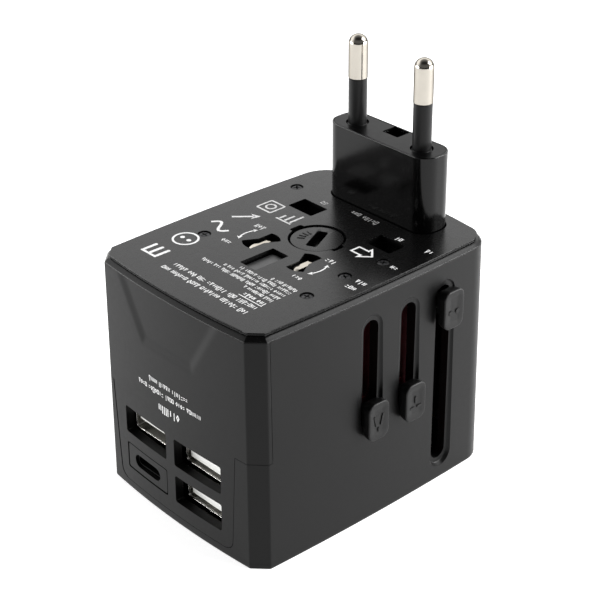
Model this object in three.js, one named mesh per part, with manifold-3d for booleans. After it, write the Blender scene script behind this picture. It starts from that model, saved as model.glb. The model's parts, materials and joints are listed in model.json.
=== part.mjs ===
// Universal travel adapter: a block-shaped housing with a sliding Euro plug, a sliding three-pin
// plug, a sliding plug with two swivelling flat blades, a fused universal socket and a USB charger.
// Millimetres, +Z up. The universal socket is underneath, the pins come out of the top, the USB
// ports face -Y and the slider knobs face +X. Everything is laid out about the housing's own
// centre line and moved at the end, so that the origin is under the middle of the whole object.
import * as THREE from 'three';
import { mergeVertices } from 'three/addons/utils/BufferGeometryUtils.js';
import Module from 'manifold-3d';

const wasm = await Module();
wasm.setup();

// ------------------------------------------------------------------ driving dimensions
const GAP = 0.3;                // clearance between pieces that meet
const WALL = 2.0;               // moulded wall thickness

// housing
const BODY_WIDTH = 48.7;        // along X at the top edge
const BODY_DEPTH = 63.6;        // along Y at the top edge
const BODY_HEIGHT = 52.6;       // underside to the pin face
const DRAFT = 0.45;             // how far each side leans out towards the underside
const FRONT_BULGE = 1.1;        // crown of the front and back faces
const SIDE_BULGE = 0.6;         // crown of the two side faces
const FRONT_CHAMFER = 2.9;      // flat on the two front corners
const BACK_RADIUS = 5.5;        // round on the two back corners
const PIN_PLATE_THICKNESS = 1.3;
const PIN_PLATE_BEVEL = 0.75;   // sloping rim of the pin plate
const SHELL_TOP = BODY_HEIGHT - PIN_PLATE_THICKNESS - GAP;

// front cover
const COVER_REACH = 28.2;       // the cover wraps round the corners as far as this, from the centre
const COVER_STEP_Z = 24.6;      // below this the cover narrows to a tongue
const TONGUE_BOTTOM_Z = 2.0;
const TONGUE_LEFT = [-20.4, -18.7];   // X at the step and at the bottom
const TONGUE_RIGHT = [18.4, 17.2];

// pin face layout
const PIN_FACE_X = 1.25;        // the pins are centred a little to the knob side
const UK_LINE_Y = 12.55;
const UK_LINE_HALF_SPACING = 11.5;
const UK_LINE_PIN = [6.35, 4.0];
const UK_EARTH_Y = -9.45;
const UK_EARTH_PIN = [4.0, 8.0];
const PIN_SLOT_CLEARANCE = 0.35;
const US_Y = -4.7;
const US_HALF_SPACING = 6.4;
const BLADE_WIDTH = 6.3;
const BLADE_THICKNESS = 1.5;
const BLADE_SWING = 30;         // degrees between the parallel and the slanted position
const BOW_TIE_RADIUS = 3.9;
const BOW_TIE_HALF_WAIST = 1.1;
const FUSE_X = 1.5;
const FUSE_Y = 4.4;
const FUSE_CAP_RADIUS = 5.55;
const FUSE_OPENING_RADIUS = 5.9;
const COIN_SLOT_ANGLE = -64;    // degrees from +X
const SCREWS = [[-19.3, 17.6], [-15.4, -11.1], [18.0, 6.9], [17.1, -2.6], [18.0, -13.3]];
const SCREW_HEAD_RADIUS = 1.2;

// Euro plug
const EU_Y = 24.58;
const EU_BLOCK = [29.1, 8.6];
const EU_BLOCK_RADIUS = 3.6;
const EU_BLOCK_RISE = 16.6;     // above the pin face
const EU_BLOCK_BOTTOM_Z = 38.8;
const EU_PIN_HALF_SPACING = 9.3;
const EU_PIN_RADIUS = 2.0;
const EU_PIN_LENGTH = 19.1;
const EU_SLEEVE_LENGTH = 9.8;
const EU_TRAVEL = 35.8;

// slider knobs
const KNOB_FACE = [5.5, 8.6];
const KNOB_FACE_DROP = 0.4;     // the cap's middle is this far below the stem's
const KNOB_CORNER = 1.3;
const KNOB_PROUD = 3.05;        // beyond the corner line of the side face
const KNOB_BACK_X = 25.5;       // the knob's underside clears the crowned side face
const KNOB_FOOT = [4.9, 5.0];   // runs in the gutter
const KNOB_STEM = [3.4, 2.6];
const KNOB_STEM_RADIUS = 1.2;
const SLOT_WIDTH = 4.0;
const SLOT_TOP_Z = 45.9;
const GUTTER_WIDTH = 7.5;       // shallow channel round each slot
const GUTTER_MARGIN = 2.2;      // beyond the slot's two ends
const GUTTER_FLOOR_X = BODY_WIDTH / 2 - 0.25;
const US_KNOB = [-2.7, 24.6];   // Y and Z of the stem at rest
const UK_KNOB = [7.6, 24.6];
const EU_KNOB = [17.8, 42.0];
const SHORT_TRAVEL = 19.5;      // of the two shorter sliders

// sliding carriages
const CARRIAGE_BOTTOM_Z = 23.2;
const CARRIAGE_TOP_Z = 27.2;
const ARM_END_X = 22.0;
const US_ARM_Y = [-4.6, -1.2];
const UK_ARM_Y = [5.9, 9.3];
const SLIDE_GUIDE_X = [18.2, 19.6];   // the comb-shaped wall that the arms run in
const HUB_RADIUS = 3.7;
const PIVOT_BORE_RADIUS = 1.5;

// pin guide and fuse holder
const GUIDE_BOTTOM_Z = 47.2;
const GUIDE_TOP_Z = SHELL_TOP;
const FUSE_HOLDER_RADIUS = 4.6;
const FUSE_HOLDER_BORE = 3.4;
const FUSE_HOLDER_BOTTOM_Z = 25.6;
const FUSE_RADIUS = 2.6;
const FUSE_BOTTOM_Z = 28.0;
const FUSE_LENGTH = 20;
const FUSE_END = 5;

// socket underneath
const SOCKET_PLATE = [0.3, 2.6];      // Z of its two faces
const SOCKET_Y = -10.2;
const SOCKET_UK_HALF_SPACING = 11.1;
const SOCKET_UK_HOLE = [7.2, 4.8];
const SOCKET_EU_HALF_SPACING = 9.5;
const SOCKET_EU_RADIUS = 2.7;
const SOCKET_US_HALF_SPACING = 6.35;
const SOCKET_AU_HALF_SPACING = 6.9;
const SOCKET_BLADE_SLOT = [2.4, 8.2];
const SOCKET_EARTH_Y = SOCKET_Y + 22.2;
const SOCKET_EARTH_HOLE = [4.8, 8.8];
const CONTACT_THICKNESS = 0.5;

// USB ports
const PORT_LEFT_X = -9.3;
const PORT_RIGHT_X = 7.3;
const PORT_UPPER_Z = 17.3;
const PORT_LOWER_Z = 8.5;
const PORT_OPENING = [14.0, 6.3];
const USB_A_SHELL = [13.2, 5.8];
const USB_A_METAL = 0.35;
const USB_A_DEPTH = [-30.4, -17.9];   // Y of the mouth and of the back
const USB_A_TONGUE = [11.4, 1.85];
const USB_A_TONGUE_RISE = [2.25, 0.75, 0.75];   // the first port is mounted the other way up
const USB_C_SHELL = [8.3, 2.6];
const USB_C_METAL = 0.3;
const BOARD_Y = [-17.4, -15.8];
const USB_A_PORTS = [[PORT_LEFT_X, PORT_UPPER_Z], [PORT_RIGHT_X, PORT_UPPER_Z], [PORT_RIGHT_X, PORT_LOWER_Z]];

const FAR = 120;                // longer than the housing, for cutting right through it

// ------------------------------------------------------------------ materials
function plastic(color, roughness) {
  return new THREE.MeshStandardMaterial({ color, roughness, metalness: 0 });
}

function metal(color, roughness) {
  return new THREE.MeshStandardMaterial({ color, roughness, metalness: 1 });
}

const housingPlastic = () => plastic(0x2e2e30, 0.55);
const facePlastic = () => plastic(0x38383a, 0.6);
const blockPlastic = () => plastic(0x1c1c1e, 0.3);
const innerPlastic = () => plastic(0x232325, 0.6);
const carriagePlastic = () => plastic(0x3a0f14, 0.5);
const greyPlastic = () => plastic(0x77777a, 0.5);
const whitePlastic = () => plastic(0xdcdcd8, 0.45);
const nickel = () => metal(0xc8c6c2, 0.18);
const brass = () => metal(0xb8923f, 0.3);
const steel = () => metal(0x9a9a9c, 0.3);

// ------------------------------------------------------------------ outlines
function circle(x, y, radius) {
  const shape = new THREE.Shape();
  shape.absarc(x, y, radius, 0, 2 * Math.PI, false);
  return shape;
}

function roundedRect(x, y, width, height, radius) {
  const [left, right] = [x - width / 2, x + width / 2];
  const [low, high] = [y - height / 2, y + height / 2];
  const shape = new THREE.Shape();
  shape.moveTo(left + radius, low);
  shape.absarc(right - radius, low + radius, radius, -Math.PI / 2, 0, false);
  shape.absarc(right - radius, high - radius, radius, 0, Math.PI / 2, false);
  shape.absarc(left + radius, high - radius, radius, Math.PI / 2, Math.PI, false);
  shape.absarc(left + radius, low + radius, radius, Math.PI, 1.5 * Math.PI, false);
  return shape;
}

function polygon(points) {
  return new THREE.Shape(points.map(([x, y]) => new THREE.Vector2(x, y)));
}

// A side of the housing from one corner to the next, crowned outwards by the rise.
function crownedEdge([x0, y0], [x1, y1], rise) {
  const steps = 8;
  const length = Math.hypot(x1 - x0, y1 - y0);
  const outward = [(y1 - y0) / length, -(x1 - x0) / length];
  return Array.from({ length: steps + 1 }, (_, i) => {
    const t = i / steps;
    const lift = rise * (1 - (2 * t - 1) ** 2);
    return [x0 + (x1 - x0) * t + outward[0] * lift, y0 + (y1 - y0) * t + outward[1] * lift];
  });
}

// The round of a back corner without its two end points, which the sides supply.
function cornerArc(x, y, radius, startDegrees) {
  const steps = 5;
  return Array.from({ length: steps - 1 }, (_, i) => {
    const angle = THREE.MathUtils.degToRad(startDegrees + (90 * (i + 1)) / steps);
    return [x + radius * Math.cos(angle), y + radius * Math.sin(angle)];
  });
}

// The housing's plan outline, moved inwards all round by the inset.
function bodyOutline(inset) {
  const hx = BODY_WIDTH / 2 - inset;
  const hy = BODY_DEPTH / 2 - inset;
  const chamfer = FRONT_CHAMFER - inset * (2 - Math.SQRT2);
  const radius = BACK_RADIUS - inset;
  return polygon([
    ...crownedEdge([-hx + chamfer, -hy], [hx - chamfer, -hy], FRONT_BULGE),
    ...crownedEdge([hx, -hy + chamfer], [hx, hy - radius], SIDE_BULGE),
    ...cornerArc(hx - radius, hy - radius, radius, 0),
    ...crownedEdge([hx - radius, hy], [-hx + radius, hy], FRONT_BULGE),
    ...cornerArc(-hx + radius, hy - radius, radius, 90),
    ...crownedEdge([-hx, hy - radius], [-hx, -hy + chamfer], SIDE_BULGE),
  ]);
}

// The space a flat blade sweeps as it turns about its middle between two angles from +Y.
function bowTie(x, y, fromDegrees, toDegrees) {
  const [from, to] = [THREE.MathUtils.degToRad(fromDegrees), THREE.MathUtils.degToRad(toDegrees)];
  const edge = Math.asin(BOW_TIE_HALF_WAIST / BOW_TIE_RADIUS);
  const waist = BOW_TIE_HALF_WAIST / Math.cos((to - from) / 2);
  const middle = (from + to) / 2;
  const steps = 4;
  const points = [];
  for (const end of [Math.PI / 2, 1.5 * Math.PI]) {
    for (let i = 0; i <= steps; i += 1) {
      const angle = end + from - edge + ((to - from + 2 * edge) * i) / steps;
      points.push([x + BOW_TIE_RADIUS * Math.cos(angle), y + BOW_TIE_RADIUS * Math.sin(angle)]);
    }
    const pinch = end + Math.PI / 2 + middle;
    points.push([x + waist * Math.cos(pinch), y + waist * Math.sin(pinch)]);
  }
  return polygon(points);
}

// ------------------------------------------------------------------ solids
function extrude(shape, depth, curveSegments) {
  return new THREE.ExtrudeGeometry(shape, { depth, bevelEnabled: false, curveSegments });
}

// An outline in X and Y, raised from one Z to another.
function prismZ(shape, z0, z1, curveSegments = 6) {
  return extrude(shape, z1 - z0, curveSegments).translate(0, 0, z0);
}

// An outline in Y and Z, carried from one X to another.
function prismX(shape, x0, x1, curveSegments = 6) {
  const turn = new THREE.Matrix4().makeBasis(
    new THREE.Vector3(0, 1, 0), new THREE.Vector3(0, 0, 1), new THREE.Vector3(1, 0, 0));
  return extrude(shape, x1 - x0, curveSegments).applyMatrix4(turn).translate(x0, 0, 0);
}

// An outline in X and Z, carried from one Y to another.
function prismY(shape, y0, y1, curveSegments = 6) {
  const turn = new THREE.Matrix4().makeBasis(
    new THREE.Vector3(1, 0, 0), new THREE.Vector3(0, 0, 1), new THREE.Vector3(0, -1, 0));
  return extrude(shape, y1 - y0, curveSegments).applyMatrix4(turn).translate(0, y1, 0);
}

function box([x0, x1], [y0, y1], [z0, z1]) {
  return new THREE.BoxGeometry(x1 - x0, y1 - y0, z1 - z0)
    .translate((x0 + x1) / 2, (y0 + y1) / 2, (z0 + z1) / 2);
}

function cylinder(x, y, radius, z0, z1, sides = 24) {
  return new THREE.CylinderGeometry(radius, radius, z1 - z0, sides)
    .rotateX(Math.PI / 2).translate(x, y, (z0 + z1) / 2);
}

// A turned piece about a vertical axis, from its radius and height profile.
function turned(x, y, profile, sides = 24) {
  const points = profile.map(([radius, z]) => new THREE.Vector2(radius, z));
  return new THREE.LatheGeometry(points, sides).rotateX(Math.PI / 2).translate(x, y, 0);
}

// Draws a geometry out or in with height: scaleAt gives the X and Y factors at each Z.
function tapered(geometry, scaleAt) {
  const position = geometry.attributes.position;
  for (let i = 0; i < position.count; i += 1) {
    const [sx, sy] = scaleAt(position.getZ(i));
    position.setXY(i, position.getX(i) * sx, position.getY(i) * sy);
  }
  return geometry;
}

function draftScale(z) {
  const lean = 2 * DRAFT * (1 - z / BODY_HEIGHT);
  return [1 + lean / BODY_WIDTH, 1 + lean / BODY_DEPTH];
}

function solid(geometry) {
  const bare = geometry.index ? geometry.toNonIndexed() : geometry.clone();
  bare.deleteAttribute('normal');
  bare.deleteAttribute('uv');
  const merged = mergeVertices(bare, 1e-4);
  return new wasm.Manifold(new wasm.Mesh({
    numProp: 3,
    vertProperties: Float32Array.from(merged.attributes.position.array),
    triVerts: Uint32Array.from(merged.index.array),
  }));
}

function geometryOf(manifold) {
  const mesh = manifold.getMesh();
  const geometry = new THREE.BufferGeometry();
  geometry.setAttribute('position', new THREE.BufferAttribute(Float32Array.from(mesh.vertProperties), 3));
  geometry.setIndex(new THREE.BufferAttribute(Uint32Array.from(mesh.triVerts), 1));
  geometry.computeVertexNormals();
  return geometry;
}

function join(...geometries) {
  return geometries.map(solid).reduce((whole, piece) => whole.add(piece));
}

function cut(from, ...geometries) {
  return geometries.map(solid).reduce((left, piece) => left.subtract(piece), from);
}

// ------------------------------------------------------------------ the assembly
const adapter = new THREE.Group();

function add(name, shape, material) {
  const geometry = shape instanceof THREE.BufferGeometry ? shape : geometryOf(shape);
  const mesh = new THREE.Mesh(geometry, material);
  mesh.name = name;
  adapter.add(mesh);
}

// ------------------------------------------------------------------ housing
function housingWall() {
  const outside = tapered(prismZ(bodyOutline(0), 0, SHELL_TOP), draftScale);
  const inside = tapered(prismZ(bodyOutline(WALL), -FAR, FAR), draftScale);
  return cut(solid(outside), inside);
}

// The part of the wall that belongs to the front cover, grown all round by the margin.
function coverRegion(margin) {
  const back = -COVER_REACH + margin;
  const bottomZ = TONGUE_BOTTOM_Z - margin;
  const bend = 2;               // height over which the tongue's lower corners turn in
  const stepZ = COVER_STEP_Z - margin;
  const upper = polygon([[-FAR, stepZ], [FAR, stepZ], [FAR, FAR], [-FAR, FAR]]);
  const tongue = polygon([
    [TONGUE_LEFT[1] + bend - margin / 2, bottomZ],
    [TONGUE_RIGHT[1] - bend + margin / 2, bottomZ],
    [TONGUE_RIGHT[1] + margin, bottomZ + bend],
    [TONGUE_RIGHT[0] + margin, COVER_STEP_Z + 1],
    [TONGUE_LEFT[0] - margin, COVER_STEP_Z + 1],
    [TONGUE_LEFT[1] - margin, bottomZ + bend],
  ]);
  return join(prismY(upper, -FAR, back), prismY(tongue, -FAR, back));
}

// A slot with round ends from its fixed top down to where the knob's stem stops, grown by the margin.
function knobSlot([y, restZ], travelDown, width, margin) {
  const bottomZ = restZ - travelDown - KNOB_STEM[1] / 2 - GAP - margin;
  const topZ = SLOT_TOP_Z + margin;
  return roundedRect(y, (topZ + bottomZ) / 2, width, topZ - bottomZ, width / 2 - 0.01);
}

function mainShell() {
  const sliders = [[US_KNOB, 0], [UK_KNOB, 0], [EU_KNOB, EU_TRAVEL]];
  const slots = sliders.map((slider) => prismX(knobSlot(...slider, SLOT_WIDTH, 0), 0, FAR));
  const gutters = sliders.map((slider) => prismX(knobSlot(...slider, GUTTER_WIDTH, GUTTER_MARGIN),
    GUTTER_FLOOR_X, FAR));
  return cut(housingWall().subtract(coverRegion(GAP)), ...slots, ...gutters);
}

function portOpening(x, z) {
  return prismY(roundedRect(x, z, ...PORT_OPENING, 0.5), -FAR, 0, 3);
}

function frontCover() {
  const openings = [...USB_A_PORTS, [PORT_LEFT_X, PORT_LOWER_Z]].map(([x, z]) => portOpening(x, z));
  return cut(housingWall().intersect(coverRegion(0)), ...openings);
}

function ukPinShapes(clearance) {
  const grow = 2 * clearance;
  return [
    ...[-1, 1].map((side) => roundedRect(PIN_FACE_X + side * UK_LINE_HALF_SPACING, UK_LINE_Y,
      UK_LINE_PIN[0] + grow, UK_LINE_PIN[1] + grow, 0.4)),
    roundedRect(PIN_FACE_X, UK_EARTH_Y, UK_EARTH_PIN[0] + grow, UK_EARTH_PIN[1] + grow, 0.4),
  ];
}

function euBlockOutline(clearance) {
  return roundedRect(PIN_FACE_X, EU_Y, EU_BLOCK[0] + 2 * clearance, EU_BLOCK[1] + 2 * clearance,
    EU_BLOCK_RADIUS + clearance);
}

function pinPlate() {
  const bottom = BODY_HEIGHT - PIN_PLATE_THICKNESS;
  const inwards = (z) => (PIN_PLATE_BEVEL * (z - bottom)) / PIN_PLATE_THICKNESS;
  const blank = tapered(prismZ(bodyOutline(0), bottom, BODY_HEIGHT),
    (z) => [1 - (2 * inwards(z)) / BODY_WIDTH, 1 - (2 * inwards(z)) / BODY_DEPTH]);
  const through = (shape, curveSegments) => prismZ(shape, 0, FAR, curveSegments);
  const notch = [1.4, 3.2];     // entry for the fuse cap's lugs
  return cut(solid(blank),
    through(euBlockOutline(PIN_SLOT_CLEARANCE)),
    ...ukPinShapes(PIN_SLOT_CLEARANCE).map((shape) => through(shape, 2)),
    through(bowTie(PIN_FACE_X - US_HALF_SPACING, US_Y, -BLADE_SWING, 0)),
    through(bowTie(PIN_FACE_X + US_HALF_SPACING, US_Y, 0, BLADE_SWING)),
    cylinder(FUSE_X, FUSE_Y, FUSE_OPENING_RADIUS, 0, FAR, 32),
    box([FUSE_X - FUSE_OPENING_RADIUS - notch[0] / 2, FUSE_X + FUSE_OPENING_RADIUS + notch[0] / 2],
      [FUSE_Y - notch[1] / 2, FUSE_Y + notch[1] / 2], [0, FAR]),
    ...SCREWS.map(([x, y]) => cylinder(x, y, SCREW_HEAD_RADIUS + GAP, 0, FAR, 16)));
}

function pinGuide() {
  const blank = tapered(prismZ(bodyOutline(WALL + GAP), GUIDE_BOTTOM_Z, GUIDE_TOP_Z), draftScale);
  const lugRoom = FUSE_OPENING_RADIUS + 1;
  const hubRoom = HUB_RADIUS + GAP / 2;
  const frontRoom = box([-FAR, FAR], [-FAR, BOARD_Y[1] + GAP], [0, FAR]);
  return cut(solid(blank),
    prismZ(euBlockOutline(PIN_SLOT_CLEARANCE), 0, FAR),
    ...ukPinShapes(PIN_SLOT_CLEARANCE).map((shape) => prismZ(shape, 0, FAR, 2)),
    ...[-1, 1].map((side) => cylinder(PIN_FACE_X + side * US_HALF_SPACING, US_Y, hubRoom, 0, FAR)),
    cylinder(FUSE_X, FUSE_Y, lugRoom, 0, FAR, 32),
    frontRoom,
    ...SCREWS.map(([x, y]) => cylinder(x, y, 1.05, 0, FAR, 12)));
}

function plateScrew(x, y) {
  const top = BODY_HEIGHT - 0.5;
  const underHead = BODY_HEIGHT - PIN_PLATE_THICKNESS - GAP / 2;
  const body = join(
    cylinder(x, y, SCREW_HEAD_RADIUS, underHead, top, 16),
    cylinder(x, y, 0.75, GUIDE_BOTTOM_Z + 0.4, top - 0.4, 10));
  const crossWidth = 0.4;
  const crossReach = 0.8;
  const crossDepth = [top - 0.5, FAR];
  return cut(body,
    box([x - crossReach, x + crossReach], [y - crossWidth / 2, y + crossWidth / 2], crossDepth),
    box([x - crossWidth / 2, x + crossWidth / 2], [y - crossReach, y + crossReach], crossDepth));
}

add('main_shell', mainShell(), housingPlastic());
add('front_cover', frontCover(), facePlastic());
add('pin_plate', pinPlate(), facePlastic());
add('pin_guide', pinGuide(), innerPlastic());
SCREWS.forEach(([x, y], i) => add(`plate_screw_${i + 1}`, plateScrew(x, y), steel()));

// ------------------------------------------------------------------ universal socket underneath
function slantedSlot(side) {
  return prismZ(roundedRect(0, 0, ...SOCKET_BLADE_SLOT, 0.3), -FAR, FAR, 1)
    .rotateZ(THREE.MathUtils.degToRad(side * BLADE_SWING))
    .translate(side * SOCKET_AU_HALF_SPACING, SOCKET_Y, 0);
}

function socketPlate() {
  const blank = tapered(prismZ(bodyOutline(WALL + GAP), ...SOCKET_PLATE), draftScale);
  const cuts = [-1, 1].flatMap((side) => [
    prismZ(roundedRect(side * SOCKET_UK_HALF_SPACING, SOCKET_Y, ...SOCKET_UK_HOLE, 0.4), -FAR, FAR, 2),
    cylinder(side * SOCKET_EU_HALF_SPACING, SOCKET_Y, SOCKET_EU_RADIUS, -FAR, FAR),
    prismZ(roundedRect(side * SOCKET_US_HALF_SPACING, SOCKET_Y, ...SOCKET_BLADE_SLOT, 0.3), -FAR, FAR, 1),
    slantedSlot(side),
  ]);
  const earth = prismZ(roundedRect(0, SOCKET_EARTH_Y, ...SOCKET_EARTH_HOLE, 0.4), -FAR, FAR, 2);
  return cut(solid(blank), ...cuts, earth);
}

const WELL_X = [3.6, 15.6];     // each contact's well, to either side of the middle
const WELL_HALF_Y = 4.4;
const WELL_TOP_Z = 19.6;

function contactHousing() {
  const skin = 0.8;
  const floor = SOCKET_PLATE[1] + GAP;
  const blank = box([-WELL_X[1] - skin, WELL_X[1] + skin],
    [SOCKET_Y - WELL_HALF_Y - skin, SOCKET_Y + WELL_HALF_Y + skin], [floor, WELL_TOP_Z + skin]);
  const wells = [-1, 1].map((side) => box([side * WELL_X[0], side * WELL_X[1]].sort((a, b) => a - b),
    [SOCKET_Y - WELL_HALF_Y, SOCKET_Y + WELL_HALF_Y], [0, WELL_TOP_Z]));
  return cut(solid(blank), ...wells);
}

// One folded strip: a pair of leaves that grips square and round pins, and one for flat blades.
function socketContact(side) {
  const across = (x0, x1) => [side * x0, side * x1].sort((a, b) => a - b);
  const web = [WELL_TOP_Z - GAP - CONTACT_THICKNESS, WELL_TOP_Z - GAP];
  const leafZ = [5, web[1]];
  const grip = 2.5;             // half the gap between the square-pin leaves
  const bladeReach = 3.4;
  return join(
    box(across(4.2, 14.9), [SOCKET_Y - bladeReach, SOCKET_Y + bladeReach], web),
    box(across(9.2, 14.9), [SOCKET_Y - grip - CONTACT_THICKNESS, SOCKET_Y - grip], leafZ),
    box(across(9.2, 14.9), [SOCKET_Y + grip, SOCKET_Y + grip + CONTACT_THICKNESS], leafZ),
    box(across(4.2, 4.2 + CONTACT_THICKNESS), [SOCKET_Y - bladeReach, SOCKET_Y + bladeReach], leafZ));
}

function busBar(x) {
  const y0 = EU_Y + EU_BLOCK[1] / 2 + GAP;
  return box([x - 2, x + 2], [y0, y0 + 0.4], [4, 46]);
}

add('socket_plate', socketPlate(), facePlastic());
add('contact_housing', contactHousing(), whitePlastic());
add('live_contact', socketContact(-1), brass());
add('neutral_contact', socketContact(1), brass());
add('live_bus_bar', busBar(PIN_FACE_X - EU_PIN_HALF_SPACING), brass());
add('neutral_bus_bar', busBar(PIN_FACE_X + EU_PIN_HALF_SPACING), brass());

// ------------------------------------------------------------------ fuse
function fuseHolder() {
  const floor = 1.2;
  const top = GUIDE_BOTTOM_Z + 1.6;
  return turned(FUSE_X, FUSE_Y, [
    [0, FUSE_HOLDER_BOTTOM_Z],
    [FUSE_HOLDER_RADIUS, FUSE_HOLDER_BOTTOM_Z],
    [FUSE_HOLDER_RADIUS, top],
    [FUSE_HOLDER_BORE, top],
    [FUSE_HOLDER_BORE, FUSE_HOLDER_BOTTOM_Z + floor],
    [0, FUSE_HOLDER_BOTTOM_Z + floor],
  ]);
}

function fuseCap() {
  const top = BODY_HEIGHT - 0.1;
  const disc = [top - 2.2, top];
  const neckRadius = 4.2;
  const lug = [6.4, 1.1];       // reach from the axis and half width
  const lugZ = [49.6, 50.9];
  const coinSlotSize = [7.2, 2.2];
  const coinSlotDepth = 1.1;
  const body = join(
    cylinder(FUSE_X, FUSE_Y, FUSE_CAP_RADIUS, ...disc, 32),
    cylinder(FUSE_X, FUSE_Y, neckRadius, GUIDE_BOTTOM_Z + 2, top - 0.5),
    box([FUSE_X - lug[1], FUSE_X + lug[1]], [FUSE_Y - lug[0], FUSE_Y + lug[0]], lugZ));
  const coinSlot = prismZ(roundedRect(0, 0, ...coinSlotSize, 0.6), top - coinSlotDepth, FAR, 4)
    .rotateZ(THREE.MathUtils.degToRad(COIN_SLOT_ANGLE)).translate(FUSE_X, FUSE_Y, 0);
  return cut(body, coinSlot);
}

const FUSE_TOP_Z = FUSE_BOTTOM_Z + FUSE_LENGTH;

function fuseStage(radius, z0, z1) {
  return cylinder(FUSE_X, FUSE_Y, radius, z0, z1, 16);
}

add('fuse_holder', fuseHolder(), innerPlastic());
add('fuse_contact', fuseStage(2.4, FUSE_HOLDER_BOTTOM_Z + 1.5, FUSE_BOTTOM_Z - 0.2), brass());
add('fuse_tube', fuseStage(FUSE_RADIUS - 0.3, FUSE_BOTTOM_Z + FUSE_END + GAP, FUSE_TOP_Z - FUSE_END - GAP),
  whitePlastic());
add('fuse_ferrule_lower', fuseStage(FUSE_RADIUS, FUSE_BOTTOM_Z, FUSE_BOTTOM_Z + FUSE_END), nickel());
add('fuse_ferrule_upper', fuseStage(FUSE_RADIUS, FUSE_TOP_Z - FUSE_END, FUSE_TOP_Z), nickel());
add('fuse_cap', fuseCap(), facePlastic());

// ------------------------------------------------------------------ USB charger
function usbAShell(x, z) {
  const inner = [USB_A_SHELL[0] - 2 * USB_A_METAL, USB_A_SHELL[1] - 2 * USB_A_METAL];
  const outside = prismY(roundedRect(x, z, ...USB_A_SHELL, 0.5), ...USB_A_DEPTH, 2);
  const inside = prismY(roundedRect(x, z, ...inner, 0.3), -FAR, USB_A_DEPTH[1] - USB_A_METAL, 2);
  return cut(solid(outside), inside);
}

// The contact tongue reaches nearly to the mouth; the rise is its height above the folded sheet's floor.
function usbATongue(x, z, rise) {
  const low = z - USB_A_SHELL[1] / 2 + USB_A_METAL + rise;
  const setBack = 0.4;
  return box([x - USB_A_TONGUE[0] / 2, x + USB_A_TONGUE[0] / 2],
    [USB_A_DEPTH[0] + setBack, USB_A_DEPTH[1] - USB_A_METAL - GAP], [low, low + USB_A_TONGUE[1]]);
}

const USB_C_MOUTH_Y = -32.2;
const USB_C_BACK_Y = -22;

// A rounded rectangle about the USB-C port's middle, smaller than a size all round by the inset.
function usbCOutline([width, height], inset, radius) {
  return roundedRect(PORT_LEFT_X, PORT_LOWER_Z, width - 2 * inset, height - 2 * inset, radius);
}

function usbCBezel() {
  const backY = -30.4;
  const plate = prismY(usbCOutline(PORT_OPENING, GAP, 0.4), -FAR, backY, 2);
  const hole = prismY(usbCOutline(USB_C_SHELL, -GAP, 1.55), -FAR, 0, 4);
  const face = tapered(prismZ(bodyOutline(0.05), 0, FAR), draftScale);
  return cut(solid(plate).intersect(solid(face)), hole);
}

function usbCShell() {
  const outline = (inset, radius) => usbCOutline(USB_C_SHELL, inset, radius);
  const outside = prismY(outline(0, 1.25), USB_C_MOUTH_Y, USB_C_BACK_Y, 4);
  const inside = prismY(outline(USB_C_METAL, 0.95), -FAR, USB_C_BACK_Y - USB_C_METAL, 4);
  return cut(solid(outside), inside);
}

function usbCTongue() {
  const [halfWidth, halfThickness] = [3.1, 0.35];
  return box([PORT_LEFT_X - halfWidth, PORT_LEFT_X + halfWidth],
    [USB_C_MOUTH_Y + 1, USB_C_BACK_Y - USB_C_METAL - GAP],
    [PORT_LOWER_Z - halfThickness, PORT_LOWER_Z + halfThickness]);
}

// The larger parts stand on the board's front side.
const PART_FOOT_Y = BOARD_Y[0] - GAP;

function transformerCore(x, z) {
  const [halfWidth, halfHeight, depth, leg] = [6.5, 7, 10.5, 2.4];
  const blank = box([x - halfWidth, x + halfWidth], [PART_FOOT_Y - depth, PART_FOOT_Y],
    [z - halfHeight, z + halfHeight]);
  const window = box([x - halfWidth + leg, x + halfWidth - leg], [-FAR, 0],
    [z - halfHeight + leg, z + halfHeight - leg]);
  return cut(solid(blank), window);
}

function transformerWinding(x, z) {
  const [width, height, depth] = [7.4, 8.4, 9.4];
  const footY = PART_FOOT_Y - 0.5;
  return prismY(roundedRect(x, z, width, height, 1.2), footY - depth, footY, 2);
}

function capacitor(x, z, radius, length) {
  return prismY(circle(x, z, radius), PART_FOOT_Y - length, PART_FOOT_Y, 20);
}

const BOARD_HALF_WIDTH = 19.5;
const BOARD_Z = [3.4, 46.4];
const TRANSFORMER = [-9, 33];   // X and Z of its middle

add('usb_board', box([-BOARD_HALF_WIDTH, BOARD_HALF_WIDTH], BOARD_Y, BOARD_Z), plastic(0x1f5a34, 0.5));
USB_A_PORTS.forEach(([x, z], i) => {
  add(`usb_a_shell_${i + 1}`, usbAShell(x, z), steel());
  add(`usb_a_tongue_${i + 1}`, usbATongue(x, z, USB_A_TONGUE_RISE[i]), whitePlastic());
});
add('usb_c_bezel', usbCBezel(), facePlastic());
add('usb_c_shell', usbCShell(), steel());
add('usb_c_tongue', usbCTongue(), innerPlastic());
add('transformer_core', transformerCore(...TRANSFORMER), plastic(0x2b2b2b, 0.7));
add('transformer_winding', transformerWinding(...TRANSFORMER), plastic(0xc9a227, 0.5));
add('input_capacitor', capacitor(6, 30, 4, 10.5), plastic(0x1d2a52, 0.4));
add('output_capacitor', capacitor(13.5, 38, 3.2, 9), plastic(0x1d2a52, 0.4));

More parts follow.
